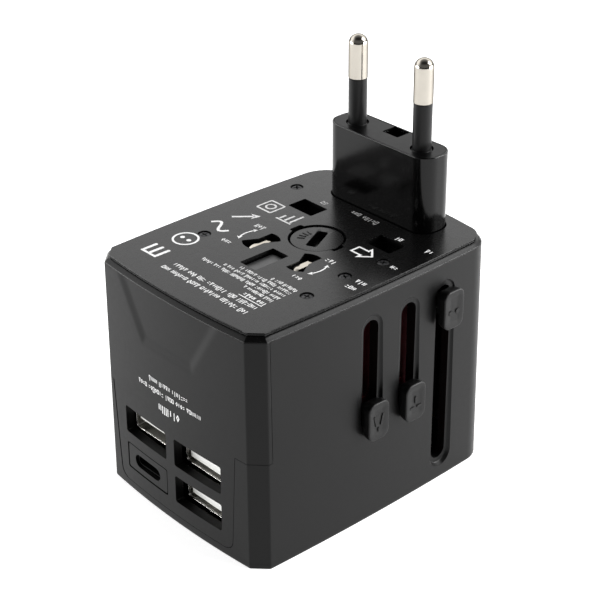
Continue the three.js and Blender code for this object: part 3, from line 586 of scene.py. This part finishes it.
def node_outline(node, margin, radius):
    """A rounded rectangle round a CAD node, seen from above, with a margin."""
    low, high = mm_box(node)
    middle = (low + high) / 2
    width, depth = high.x - low.x + 2 * margin, high.y - low.y + 2 * margin
    return rounded_rect(middle.x, middle.y, width, depth, radius)


def block_outline(margin):
    """The Euro plug block's outline above the pin face; its centre is midway between the pins."""
    x = (centre("eu_pin_left").x + centre("eu_pin_right").x) / 2
    y = centre("eu_pin_left").y
    half_y = mm_box("eu_block")[1].y - y
    half_x = x - mm_box("eu_block")[0].x
    return rounded_rect(x, y, 2 * (half_x + margin), 2 * (half_y + margin), 3.6 + margin, 12)


def pin_plate():
    # the rim rises from a crisp outer edge in a shallow curve to a groove cut under the upper edge
    levels = [(SHELL_TOP + 0.01, 0.03), (51.1, 0.03), (51.19, 0.07), (51.25, 0.13), (51.45, 0.3),
              (51.68, 0.5), (51.86, 0.72), (51.9, 0.84), (51.92, 1.12), (52.3, 1.12), (52.38, 1.0),
              (52.5, 0.96), (52.57, 1.0), (PIN_FACE_Z, 1.1)]
    plate = loft([body_ring(z, inset, drafted=False) for z, inset in levels])
    fuse = centre("fuse_cap")
    blades = {"us_blade_left": (-BLADE_SWING, 0), "us_blade_right": (0, BLADE_SWING)}
    cut(plate, prism(block_outline(0.28), 0, FAR))
    for node in ("uk_line_pin_left", "uk_line_pin_right", "uk_earth_pin"):
        cut(plate, prism(node_outline(node, 0.35, 0.25), 0, FAR))
    for node, swing in blades.items():
        middle = centre(node)
        cut(plate, prism(bow_tie(middle.x, middle.y, *swing), 0, FAR))
    notch = FUSE_OPENING_RADIUS + 0.75
    cut(plate, join(prism(circle(fuse.x, fuse.y, FUSE_OPENING_RADIUS, 96), 0, FAR),
                    prism(rounded_rect(fuse.x, fuse.y, 2 * notch, 3.2, 0.5), 0, FAR)))
    for k in range(5):
        screw = centre(f"plate_screw_{k + 1}")
        cut(plate, prism(circle(screw.x, screw.y, SCREW_HOLE_RADIUS), 0, FAR))
    return bevel(plate, 0.07, 2, 50)


finish_piece(pin_plate(), "pin_plate_moulding", TOP_PANEL, "housing", ["pin_plate"])

# ------------------------------------------------------------------ fuse cap and screws
COIN_SLOT_ANGLE = -64


def spun(outline, degrees, x, y):
    turn = Matrix.Rotation(math.radians(degrees), 2)
    return [tuple(turn @ Vector(p) + Vector((x, y))) for p in outline]


def fuse_cap():
    low, high = mm_box("fuse_cap")
    x, y = centre("fuse_cap").x, centre("fuse_cap").y
    radius = (high.x - low.x) / 2 - 0.1
    top = high.z - 0.14
    lug = (high.y - low.y) / 2
    profile = [(0, low.z), (4.2, low.z), (4.2, top - 2.2), (radius - 0.1, top - 2.2), (radius, top - 2.1),
               (radius, top - 0.12), (radius - 0.04, top - 0.04), (radius - 0.12, top), (0, top)]
    cap = turned(x, y, profile, 96)
    join(cap, box((x - 1.1, x + 1.1), (y - lug, y + lug), (low.z + 0.4, low.z + 1.7)))
    slot = spun(rounded_rect(0, 0, 7.0, 2.4, 0.6), COIN_SLOT_ANGLE, x, y)
    cut(cap, prism(slot, top - 1.7, FAR))
    bevel(cap, 0.07, 2)
    marks = []
    for k in range(4):
        mark = spun(rounded_rect(-3.3, 0, 1.6, 0.4, 0.15, 3), -14 + 17 * k, x, y)
        marks.append(prism(mark, top - 0.1, top + 0.13))
    return join(cap, *marks)


finish_piece(fuse_cap(), "fuse_cap_moulding", TOP_PANEL, "fuse_cap", ["fuse_cap"])


def plate_screw(node):
    low = mm_box(node)[0]
    x, y = centre(node).x, centre(node).y
    top, radius = PIN_FACE_Z - 0.12, SCREW_HOLE_RADIUS - 0.07
    profile = [(0, low.z), (0.5, low.z), (0.75, low.z + 0.4), (0.75, top - 0.85), (radius - 0.06, top - 0.7),
               (radius, top - 0.6), (radius, top - 0.3), (radius - 0.12, top - 0.16),
               (radius * 0.6, top - 0.04), (0, top)]
    screw = turned(x, y, profile, 40)
    recess = [(-0.78, 0.19), (-0.19, 0.19), (-0.19, 0.78), (0.19, 0.78), (0.19, 0.19), (0.78, 0.19),
              (0.78, -0.19), (0.19, -0.19), (0.19, -0.78), (-0.19, -0.78), (-0.19, -0.19), (-0.78, -0.19)]
    turn = 20 + 34 * int(node[-1])
    cut(screw, prism(spun(recess, turn, x, y), top - 0.5, FAR))
    return bevel(screw, 0.04, 2, 50)


for k in range(5):
    node = f"plate_screw_{k + 1}"
    finish_piece(plate_screw(node), f"black_screw_{k + 1}", BLACK_STEEL, "housing", [node])

# ------------------------------------------------------------------ white print
INK_BURIED = 0.03
INK_PROUD = 0.03
# shapes for greeked text, each a few lines in a unit square: bars, boxes, diamonds, wedges and dashes.
SMALL_MARKS = (
    (((0.5, 0), (0.5, 1)),),
    (((0.1, 0), (0.1, 1)), ((0.9, 0), (0.9, 1))),
    (((0, 0), (1, 0), (1, 1), (0, 1), (0, 0)),),
    (((0.5, 0), (1, 0.5), (0.5, 1), (0, 0.5), (0.5, 0)),),
    (((0, 0), (1, 0), (0.5, 1), (0, 0)),),
    (((0, 0.25), (1, 0.25)), ((0, 0.75), (1, 0.75))),
)


class Print:
    """Marks drawn flat in u and v, then laid on a surface: place(u, v, lift) gives a point lifted off it."""

    def __init__(self, place):
        self.place = place
        self.bm = bmesh.new()

    def vertex(self, point, lift):
        return self.bm.verts.new(self.place(point[0], point[1], lift))

    def fill(self, outline):
        low = [self.vertex(p, -INK_BURIED) for p in outline]
        high = [self.vertex(p, INK_PROUD) for p in outline]
        for i in range(len(outline)):
            self.bm.faces.new((low[i - 1], low[i], high[i], high[i - 1]))
        self.bm.faces.new(list(reversed(low)))
        self.bm.faces.new(high)

    def stroke(self, points, width, closed=False):
        rows = []
        count = len(points)
        for i, point in enumerate(points):
            here = Vector(point)
            before = Vector(points[i - 1]) if closed or i else None
            after = Vector(points[(i + 1) % count]) if closed or i < count - 1 else None
            steps = []
            if before:
                steps.append((here - before).normalized())
            if after:
                steps.append((after - here).normalized())
            along = sum(steps, Vector((0, 0))).normalized()
            side = Vector((-along.y, along.x)) * width / 2 / max(along.dot(steps[0]), 0.4)
            rim = ((1, INK_PROUD), (-1, INK_PROUD), (-1, -INK_BURIED), (1, -INK_BURIED))
            rows.append([self.vertex(here + side * k, lift) for k, lift in rim])
        for i in range(0 if closed else 1, count):
            for k in range(4):
                self.bm.faces.new((rows[i - 1][k], rows[i][k], rows[i][k - 1], rows[i - 1][k - 1]))
        if not closed:
            self.bm.faces.new(rows[0])
            self.bm.faces.new(list(reversed(rows[-1])))

    def arrowhead(self, tip, direction, size):
        along = Vector(direction).normalized() * size
        side = Vector((-along.y, along.x)) * 0.55
        tip = Vector(tip)
        self.fill([tuple(p) for p in (tip, tip - along + side, tip - along * 0.75, tip - along - side)])

    def ticks(self, u, v, length, height, rng, weight):
        """A row of small random marks in groups, like greeked text, that runs back from u and down from v."""
        wide, pitch = height * 0.4, height * 0.4 + weight * 2.1
        reach = 0
        group = rng.randint(3, 7)
        while reach < length - wide:
            if group == 0:
                group = rng.randint(3, 7)
                reach += pitch * 0.7
                continue
            group -= 1
            tall = height * rng.choice((0.72, 0.72, 1.0))
            for line in rng.choice(SMALL_MARKS):
                self.stroke([(u - (reach + wide * a), v - tall * b) for a, b in line], weight)
            reach += pitch

    def finish(self, name, body):
        return finish_piece(as_object(self.bm), name, INK, body)


def double_arrow(ink, x, y, radius, start, end, width, head):
    """A curved line with an arrowhead at each end; angles in degrees."""
    trim = math.degrees(head * 0.8 / radius)
    ink.stroke(arc(x, y, radius, start + trim, end - trim, 12), width)
    for angle, way in ((start, -1), (end, 1)):
        a = math.radians(angle)
        tip = (x + radius * math.cos(a), y + radius * math.sin(a))
        ink.arrowhead(tip, (-math.sin(a) * way, math.cos(a) * way), head)


def top_print():
    rng = random.Random(11)
    ink = Print(lambda u, v, lift: (u, v, PIN_FACE_Z + lift))
    right = 15.4
    rows = [(-13.7, 7.4), (-15.2, 14.9), (-16.7, 18.1), (-18.2, 23.0), (-19.7, 8.7), (-23.8, 24.6),
            (-26.1, 26.0)]
    for y, length in rows:
        size = 1.25 if y < -23 else 1.0
        ink.ticks(right, y + size / 2, length, size, rng, 0.11 * size)
    ink.ticks(right, -21.0, 6.6, 1.15, rng, 0.18)
    ink.stroke([(right, -22.4), (right - 6.6, -22.4)], 0.18)
    labels = ((-8.6, 16.9, 2.1), (13.9, 16.6, 2.1), (5.1, 18.4, 7.5), (21.9, 17.0, 2.1), (21.9, 7.1, 2.1),
              (22.4, -1.8, 3.0), (22.4, -4.5, 3.0), (-8.9, -0.2, 2.6), (-8.7, -9.4, 2.6), (12.0, 0.0, 2.6),
              (12.4, -9.3, 2.6))
    for x, y, length in labels:
        ink.ticks(x, y, length, 1.3, rng, 0.18)
    for side, start, end in ((-1, 145, 215), (1, -35, 35)):
        middle = centre("us_blade_left" if side < 0 else "us_blade_right")
        double_arrow(ink, middle.x + side * 0.2, middle.y, 4.6, start, end, 0.28, 1.0)
    # a column of plain pictograms, and two beside it
    ink.stroke(rounded_rect(-15.7, 7.1, 4.2, 4.2, 0.3, 2), 0.42, True)
    ink.stroke(circle(-15.7, 7.1, 1.05, 24), 0.42, True)
    for k in range(3):
        ink.stroke([(-10.4 + 1.5 * k, 4.9), (-10.4 + 1.5 * k, 6.6 + 1.1 * k)], 0.5)
    ink.stroke([(-11.1, 4.5), (-6.7, 4.5)], 0.4)
    block_arrow = [(10.2, 5.6), (12.9, 5.6), (12.9, 4.7), (15.0, 6.75), (12.9, 8.8), (12.9, 7.9), (10.2, 7.9)]
    ink.stroke(block_arrow, 0.42, True)
    ink.stroke([(-17.6, -2.0), (-14.4, 1.6)], 0.6)
    ink.arrowhead((-13.6, 2.5), (3.2, 3.6), 2.0)
    wave = [(-18.7 + 0.35 * k, -6.6 + 1.45 * math.sin(math.radians(360 * k / 16))) for k in range(17)]
    ink.stroke(wave, 0.62)
    ink.stroke(circle(-16.2, -15.3, 2.6, 40), 0.45, True)
    for x in (-17.2, -15.2):
        ink.fill(circle(x, -15.3, 0.5, 16))
    for x in (-18.3, -16.3, -14.3):
        ink.fill(rounded_rect(x, -22.6, 0.7, 3.6, 0.3, 3))
    ink.fill(rounded_rect(-16.3, -24.6, 4.7, 0.55, 0.2, 3))
    return ink


top_print().finish("pin_face_print", "housing")


def front_print():
    rng = random.Random(5)
    ink = Print(lambda u, v, lift: (u, front_surface(u, v) - lift, v))
    for u, v, length, size in ((-7.5, 31.9, 12.7, 1.15), (-10.8, 29.7, 19.8, 1.15)):
        ink.ticks(u + length, v, length, size, rng, 0.12)
    ink.ticks(2.4, 26.7, 6.6, 1.8, rng, 0.2)
    return ink


front_print().finish("port_face_print", "housing")

# ------------------------------------------------------------------ Euro plug
COLLAR_RADIUS = 2.4


def block_pocket():
    """The square pocket in the block's top, behind the line of the pins."""
    middle = (centre("eu_pin_left").x + centre("eu_pin_right").x) / 2
    outline = rounded_rect(middle, centre("eu_pin_left").y + 2.02, 4.4, 3.65, 0.15, 3)
    return prism(outline, mm_box("eu_block")[1].z - 10, FAR)


def eu_block():
    low, high = mm_box("eu_block")
    top = high.z
    rings = [(low.z, 0.25), (low.z + 0.25, 0)]
    for k in range(5):
        a = math.radians(90 * k / 4)
        rings.append((top - 0.2 + 0.2 * math.sin(a), 0.2 * (1 - math.cos(a))))
    block = loft([[(x, y, z) for x, y in block_outline(-inset)] for z, inset in rings])
    pin_y = centre("eu_pin_left").y
    join(block, box((11, high.x), (low.y, pin_y), (low.z, low.z + 6)))
    cuts = [block_pocket()]
    for node in ("eu_pin_left", "eu_pin_right"):
        x = centre(node).x
        cuts.append(prism(circle(x, pin_y, COLLAR_RADIUS, 64), top - 3, FAR))
        cuts.append(prism(circle(x, pin_y, 1.6, 32), top - 12.3, FAR))
    cut(block, *cuts, prism(block_outline(-0.32), top - 0.5, FAR))
    return bevel(block, 0.08, 2, 50)


finish_piece(eu_block(), "plug_block_moulding", BLOCK, "eu_plug", ["eu_block"])


def eu_block_top():
    """The matte plate let into the top of the block, round the pins and over the pocket."""
    top = mm_box("eu_block")[1].z
    pin_y = centre("eu_pin_left").y
    plate = prism(block_outline(-0.42), top - 0.48, top - 0.03)
    cut(plate, block_pocket())
    for node in ("eu_pin_left", "eu_pin_right"):
        cut(plate, prism(circle(centre(node).x, pin_y, COLLAR_RADIUS, 64), 0, FAR))
    return bevel(plate, 0.05, 2, 50)


finish_piece(eu_block_top(), "plug_block_top_plate", BLOCK_TOP, "eu_plug")

for side in ("left", "right"):
    node = f"eu_pin_{side}"
    low, high = mm_box(node)
    x, y = centre(node).x, centre(node).y
    radius = (high.x - low.x) / 2
    sleeve_low, sleeve_high = mm_box(f"eu_sleeve_{side}")
    profile = [(0, low.z), (1.2, low.z), (1.3, low.z + 0.1), (1.3, sleeve_high.z + 0.02),
               (radius - 0.12, sleeve_high.z + 0.02), (radius, sleeve_high.z + 0.14)]
    for k in range(19):
        a = math.radians(90 * k / 18)
        profile.append((0 if k == 18 else radius * math.cos(a), high.z - radius + radius * math.sin(a)))
    finish_piece(turned(x, y, profile, 64), f"round_pin_{side}", NICKEL, "eu_plug", [node])
    outer = (sleeve_high.x - sleeve_low.x) / 2
    foot = mm_box("eu_block")[1].z
    profile = [(0, sleeve_low.z), (outer, sleeve_low.z), (outer, foot - 0.9), (outer + 0.12, foot - 0.8),
               (outer + 0.12, foot - 0.25), (outer, foot - 0.15), (outer, sleeve_high.z - 0.12),
               (outer - 0.1, sleeve_high.z), (0, sleeve_high.z)]
    sleeve = turned(x, y, profile, 64)
    cut(sleeve, prism(circle(x, y, 1.42, 48), 0, FAR))
    finish_piece(sleeve, f"round_pin_sleeve_{side}", SLEEVE, "eu_plug", [f"eu_sleeve_{side}"])

# ------------------------------------------------------------------ slider knobs
LONG_KNOB_RELIEF = 3.4          # height of the lower end that rides over the wall below the long slot


def knob(node, marks):
    low, high = mm_box(node)
    y, z = centre(node).y, (low.z + high.z) / 2
    width, height = high.y - low.y, high.z - low.z
    back, front = GUTTER_FLOOR_X + 0.3, high.x
    round_over = 0.3
    rings = [(back, 0.55), (back + 0.5, 0.35), (front - 1.5, 0.1), (front - 0.8, 0)]
    for k in range(7):
        a = math.radians(90 * k / 6)
        rings.append((front - round_over + round_over * math.sin(a), round_over * (1 - math.cos(a))))
    rings += [(front - 0.04, 0.9), (front - 0.12, 1.4), (front - 0.2, 2.0)]
    cap = loft([[(x, u, v) for u, v in
                 rounded_rect(y, z, width - 2 * inset, height - 2 * inset, max(1.7 - inset * 0.8, 0.3), 10)]
                for x, inset in rings])
    if node == "eu_knob":
        cut(cap, box((back - 1, -SHELL_LOW.x), (y - 5, y + 5), (low.z - 1, low.z + LONG_KNOB_RELIEF)))
    stem = prism(rounded_rect(y, z + KNOB_FACE_DROP, 3.4, 2.6, 1.2), low.x, GUTTER_FLOOR_X + 0.5, "x")
    join(cap, stem)
    raised = [prism([(y + u, z + v) for u, v in mark], front - 0.4, front, "x") for mark in marks]
    return join(cap, *raised)


def bar(u, v, width, height, lean=0):
    return spun(rounded_rect(0, 0, width, height, min(width, height) * 0.4, 4), lean, u, v)


KNOB_MARKS = {
    "us_knob": [bar(-0.9, 0.1, 0.5, 2.6, 14), bar(0.9, 0.1, 0.5, 2.6, -14), bar(0, -2.0, 0.5, 1.0)],
    "uk_knob": [bar(-1.0, -1.2, 1.3, 0.5), bar(1.0, -1.2, 1.3, 0.5), bar(0, 0.5, 0.5, 1.6)],
    "eu_knob": [bar(-1.0, -0.6, 1.0, 1.0), bar(1.0, -0.6, 1.0, 1.0)],
}
for node, marks in KNOB_MARKS.items():
    body = node.replace("knob", "plug")
    finish_piece(knob(node, marks), f"slider_{node}", KNOB, body, [node])

# ------------------------------------------------------------------ square pins and flat blades
SLEEVE_END_Z = 42.1
BLADE_LIFT = 0.35               # the blades' tops stand this much higher than in the CAD
EARTH_PIN_LIFT = 0.45           # and so does the earth pin's


def square_pin(node, start, end, inset=0, tip=0.7):
    """A pin of the three-pin plug between two heights, with a tip drawn in on all sides."""
    low, high = mm_box(node)
    x, y = centre(node).x, centre(node).y
    width, depth = high.x - low.x - 2 * inset, high.y - low.y - 2 * inset
    rings = [(start, 0), (end - 2.2 * tip, 0), (end - tip, tip * 0.25), (end - tip * 0.3, tip * 0.7),
             (end, tip)]
    return loft([[(u, v, z) for u, v in rounded_rect(x, y, width - 2 * r, depth - 2 * r, 0.45, 4)]
                 for z, r in rings])


for side in ("left", "right"):
    node = f"uk_line_pin_{side}"
    low, high = mm_box(node)
    pin = square_pin(node, SLEEVE_END_Z + 0.02, high.z)
    finish_piece(pin, f"square_pin_{side}", BRASS, "uk_plug", [node])
    sleeve = square_pin(node, low.z, SLEEVE_END_Z, 0, 0.08)
    finish_piece(sleeve, f"square_pin_sleeve_{side}", INNER, "uk_plug")
low, high = mm_box("uk_earth_pin")
pin = square_pin("uk_earth_pin", low.z, high.z + EARTH_PIN_LIFT, 0, 0.12)
finish_piece(pin, "earth_pin", GREY_PIN, "uk_plug", ["uk_earth_pin"])


def flat_blade(node):
    low, high = mm_box(node)
    x, y = centre(node).x, centre(node).y
    half, thickness, tip = 3.15, 1.5, 1.6
    top = high.z + BLADE_LIFT
    foot = low.z + 3.8
    hub = (high.y - low.y) / 2
    outline = [(y - half, foot)] + [(y + half, foot)] + arc(y + half - tip, top - tip, tip, 0, 90, 10)
    outline += arc(y - half + tip, top - tip, tip, 90, 180, 10)
    blade = prism(outline, x - thickness / 2, x + thickness / 2, "x")
    cut(blade, prism(circle(y, top - 8.5, 1.55, 32), -FAR, FAR, "x"))
    base = turned(x, y, [(0, low.z), (1.1, low.z), (1.2, low.z + 0.1), (1.2, foot + 0.2),
                         (hub - 0.1, foot + 0.2), (hub, foot + 0.3), (hub, foot + 1.2),
                         (hub - 0.15, foot + 1.4), (0, foot + 1.4)])
    return bevel(join(blade, base), 0.3, 3, 50)


for side in ("left", "right"):
    node = f"us_blade_{side}"
    finish_piece(flat_blade(node), f"flat_blade_{side}", NICKEL, node, [node])

# ------------------------------------------------------------------ USB ports
SHEET = 0.35                    # thickness of the USB-A sheet
FIRST_TONGUE_DROP = 0.45        # the first port's tongue is this much lower than in the CAD


def usb_a_shell(node):
    """Folded sheet: a box with a rolled mouth and a pair of spring tongues in its upper wall."""
    low, high = mm_box(node)
    x, z = centre(node).x, centre(node).z
    width, height = high.x - low.x, high.z - low.z
    inner_width, inner_height = width - 2 * SHEET, height - 2 * SHEET
    outside = prism(rounded_rect(x, z, width, height, 0.55), low.y, high.y, "y")
    inside = prism(rounded_rect(x, z, inner_width, inner_height, 0.3), low.y - 1, high.y - SHEET, "y")
    flare = loft([[(u, v, w) for u, w in rounded_rect(x, z, inner_width + grow, inner_height + grow, 0.4)]
                  for v, grow in ((low.y - 0.1, 0.5), (low.y + 0.35, 0.0))])
    cut(outside, inside, flare)
    for offset in (-3.1, 3.1):
        left, right = x + offset - 1.1, x + offset + 1.1
        frame_hole = box((left, right), (low.y + 4.0, low.y + 8.8), (high.z - 1, high.z + 1))
        tongue = box((left + 0.3, right - 0.3), (low.y + 3.9, low.y + 8.5), (high.z - 2, high.z + 2))
        cut(outside, cut(frame_hole, tongue))
    return bevel(outside, 0.06, 2, 50)


def usb_a_tongue(node):
    low, high = mm_box(node)
    lower = FIRST_TONGUE_DROP if node == "usb_a_tongue_1" else 0
    tongue = box((low.x, high.x), (low.y, high.y), (low.z - lower, high.z - lower))
    return bevel(tongue, 0.22, 3)


for k in range(3):
    node = f"usb_a_shell_{k + 1}"
    finish_piece(usb_a_shell(node), f"usb_a_sheet_{k + 1}", STEEL, "housing", [node])
    node = f"usb_a_tongue_{k + 1}"
    finish_piece(usb_a_tongue(node), f"usb_a_insulator_{k + 1}", WHITE, "housing", [node])
    low, high = mm_box(node)
    for i, offset in enumerate((-3.5, -1.0, 1.0, 3.5)):
        x = centre(node).x + offset
        strip = box((x - 0.5, x + 0.5), (low.y + 4.5, high.y - 0.5), (low.z - 0.12, low.z + 0.05))
        finish_piece(bevel(strip, 0.06, 2), f"usb_a_contact_{k + 1}_{i + 1}", GOLD, "housing")


def usb_c_bezel():
    node = "usb_c_bezel"
    low, high = mm_box(node)
    x, z = centre(node).x, centre(node).z
    width, height = high.x - low.x, high.z - low.z
    plate = prism(rounded_rect(x, z, width, height, 0.45), -FAR, high.y, "y")
    common(plate, loft([body_ring(0, 0.08, 60), body_ring(PIN_FACE_Z, 0.08, 60)]))
    shell_low, shell_high = mm_box("usb_c_shell")
    hole_w, hole_h = shell_high.x - shell_low.x + 0.5, shell_high.z - shell_low.z + 0.4
    cut(plate, prism(rounded_rect(x, z, hole_w, hole_h, hole_h / 2 - 0.01, 12), -FAR, 0, "y"))
    return bevel(plate, 0.16, 3, 50)


finish_piece(usb_c_bezel(), "usb_c_surround", PANEL, "housing", ["usb_c_bezel"])


def usb_c_shell():
    low, high = mm_box("usb_c_shell")
    x, z = centre("usb_c_shell").x, centre("usb_c_shell").z
    width, height = high.x - low.x, high.z - low.z
    outside = prism(rounded_rect(x, z, width, height, height / 2 - 0.01, 12), low.y, high.y, "y")
    inner = height - 0.6
    cut(outside, prism(rounded_rect(x, z, width - 0.6, inner, inner / 2 - 0.01, 12), -FAR, high.y - 0.3, "y"))
    return bevel(outside, 0.08, 2, 50)


# the USB-C shell takes the near-black sheet: painted shade in place of bright steel
finish_piece(usb_c_shell(), "usb_c_sheet", PORT_SHEET_PAINTED_SHADE, "housing", ["usb_c_shell"])
low, high = mm_box("usb_c_tongue")
tongue = bevel(box((low.x, high.x), (low.y, high.y), (low.z, high.z)), 0.15, 3)
finish_piece(tongue, "usb_c_insulator", INNER, "housing", ["usb_c_tongue"])
for i in range(12):
    x = centre("usb_c_tongue").x + 0.5 * (i - 5.5)
    strip = box((x - 0.13, x + 0.13), (low.y + 0.3, low.y + 5), (high.z - 0.05, high.z + 0.04))
    finish_piece(strip, f"usb_c_contact_{i + 1}", GOLD, "housing")

# ------------------------------------------------------------------ socket plate underneath
SOCKET_Y = -10.2


def socket_plate():
    low, high = mm_box("socket_plate")
    levels = [(low.z, WALL + 0.75), (low.z + 0.18, WALL + 0.4), (low.z + 0.4, WALL + 0.32),
              (high.z, WALL + 0.3)]
    plate = loft([body_ring(z, inset) for z, inset in levels])
    holes = [prism(rounded_rect(0, SOCKET_Y + 22.2, 4.8, 8.8, 0.45), -FAR, FAR)]
    for side in (-1, 1):
        line = [rounded_rect(side * 11.1, SOCKET_Y, 7.2, 4.8, 0.45), circle(side * 9.5, SOCKET_Y, 2.7, 48),
                rounded_rect(side * 6.35, SOCKET_Y, 2.4, 8.2, 0.35),
                spun(rounded_rect(0, 0, 2.4, 8.2, 0.35), side * BLADE_SWING, side * 6.9, SOCKET_Y)]
        holes += [prism(outline, -FAR, FAR) for outline in line]
    for hole in holes:
        cut(plate, hole)
    # a shallow ring round the socket's middle
    ring = prism(circle(0, -4.2, 20.4, 128), -FAR, low.z + 0.25)
    cut(ring, prism(circle(0, -4.2, 19.9, 128), -2 * FAR, FAR))
    cut(plate, ring)
    return bevel(plate, 0.2, 3, 50)


finish_piece(socket_plate(), "socket_plate_moulding", TOP_PANEL, "housing", ["socket_plate"])

# ------------------------------------------------------------------ black sleeves on the two bus bars
for bar_name in ("live_bus_bar", "neutral_bus_bar"):
    low, high = mm_box(bar_name)
    wrap = box((low.x - 0.1, high.x + 0.1), (low.y - 0.1, high.y + 0.1), (low.z + 2, high.z - 2))
    cut(wrap, box((low.x, high.x), (low.y, high.y), (low.z, high.z)))
    finish_piece(bevel(wrap, 0.06, 2), f"{bar_name}_sleeve", INNER, "housing")

# ------------------------------------------------------------------ inner pieces keep their CAD shape
for part in frame["record"]["subparts"]:
    node = frame["nodes"][part["node"]]
    if node.hide_render:
        continue
    node.data.materials.clear()
    node.data.materials.append(SLOT_MATERIALS[part["material_slot"]])
    rounding = node.modifiers.new("rounded edges", "BEVEL")
    rounding.width = 0.12 * MM
    rounding.segments = 2
    rounding.limit_method = "ANGLE"
    rounding.angle_limit = math.radians(40)
    shade(node)

# ------------------------------------------------------------------ floor, light, camera
AZIMUTH = 48.26
ELEVATION = 28.98
ROLL = -0.45
DISTANCE = 356.9
LOOK_RIGHT = 0.48
LOOK_UP = 34.4
FOCAL_LENGTH = 99.14
RIM_POWER = 6                   # catches the edges above the sliders
EDGE_POWER = 22                 # a low strip that draws a bright line along the outer edges
FRONT_POWER = 10                # catches the edges above the ports and lights their insides
SKY = 2.2
FLOOR_GLOW = 0.72               # the floor is a light table, so no hard shadow lies on it
SKY_NEAR = 0.08                 # what is left of the sky round the camera
SKY_HORIZON = 0.12              # and at the horizon
SKY_ZENITH = 0.2                # and straight above


def camera():
    data = bpy.data.cameras.new("camera")
    data.lens = FOCAL_LENGTH
    data.sensor_width = 36
    data.clip_start = 0.01
    a, e, r = (math.radians(v) for v in (AZIMUTH, ELEVATION, ROLL))
    back = Vector((math.sin(a) * math.cos(e), -math.cos(a) * math.cos(e), math.sin(e)))
    level = Vector((math.cos(a), math.sin(a), 0))
    up = back.cross(level)
    right = level * math.cos(r) + up * math.sin(r)
    upright = up * math.cos(r) - level * math.sin(r)
    place = back * DISTANCE + right * LOOK_RIGHT + upright * LOOK_UP + HOUSING_CENTRE
    eye = bpy.data.objects.new("camera", data)
    scene.collection.objects.link(eye)
    turn = Matrix((right, upright, back)).transposed()
    eye.matrix_world = Matrix.Translation(place * MM) @ turn.to_4x4()
    scene.camera = eye


def area_light(name, place, aim, size, power):
    data = bpy.data.lights.new(name, "AREA")
    data.shape = "RECTANGLE"
    data.size, data.size_y = size
    data.energy = power
    lamp = bpy.data.objects.new(name, data)
    scene.collection.objects.link(lamp)
    lamp.location = place
    lamp.rotation_euler = (Vector(aim) - Vector(place)).to_track_quat("-Z", "Y").to_euler()


def floor():
    bm = bmesh.new()
    bmesh.ops.create_grid(bm, x_segments=1, y_segments=1, size=3)
    sheet = as_object(bm)
    sheet.name = "floor"
    material, _, _, shader = node_material("pale_floor")
    shader.inputs["Base Color"].default_value = (0.7, 0.7, 0.7, 1)
    shader.inputs["Roughness"].default_value = 0.7
    shader.inputs["Emission Color"].default_value = (1, 1, 1, 1)
    shader.inputs["Emission Strength"].default_value = FLOOR_GLOW
    sheet.data.materials.append(material)


camera()
floor()
area_light("rim_softbox", (0.53, 0.63, 0.76), (0, 0, 0.03), (0.55, 0.55), RIM_POWER)
area_light("edge_strip", (0.85, 0.75, 0.2), (0, 0, 0.03), (0.9, 0.2), EDGE_POWER)
area_light("front_softbox", (-0.75, -0.75, 0.15), (0, 0, 0.03), (0.9, 0.22), FRONT_POWER)


def studio_sky():
    """A white sky, darker towards the camera, the horizon and the zenith."""
    world = bpy.data.worlds.new("studio")
    world.use_nodes = True
    nodes, links = world.node_tree.nodes, world.node_tree.links
    direction = nodes.new("ShaderNodeTexCoord").outputs["Generated"]

    def fade(towards, start, end, low):
        along = nodes.new("ShaderNodeVectorMath")
        along.operation = "DOT_PRODUCT"
        along.inputs[1].default_value = towards
        links.new(direction, along.inputs[0])
        level = nodes.new("ShaderNodeMapRange")
        level.interpolation_type = "SMOOTHSTEP"
        level.inputs["From Min"].default_value = start
        level.inputs["From Max"].default_value = end
        level.inputs["To Min"].default_value = 1
        level.inputs["To Max"].default_value = low
        links.new(along.outputs["Value"], level.inputs["Value"])
        return level.outputs["Result"]

    a, e = math.radians(AZIMUTH), math.radians(ELEVATION)
    near = fade((math.sin(a) * math.cos(e), -math.cos(a) * math.cos(e), math.sin(e)), -0.1, 0.7, SKY_NEAR)
    above = fade((0, 0, 1), 0.6, 0.9, SKY_ZENITH)
    horizon = fade((0, 0, -1), -0.3, -0.12, SKY_HORIZON)
    strength = None
    for level in (near, above, horizon):
        product = nodes.new("ShaderNodeMath")
        product.operation = "MULTIPLY"
        product.inputs[1].default_value = SKY
        links.new(level, product.inputs[0])
        if strength:
            links.new(strength, product.inputs[1])
        strength = product.outputs["Value"]
    nodes["Background"].inputs["Color"].default_value = (1, 1, 1, 1)
    links.new(strength, nodes["Background"].inputs["Strength"])
    return world


world = studio_sky()
scene.world = world
scene.view_settings.view_transform = "Standard"
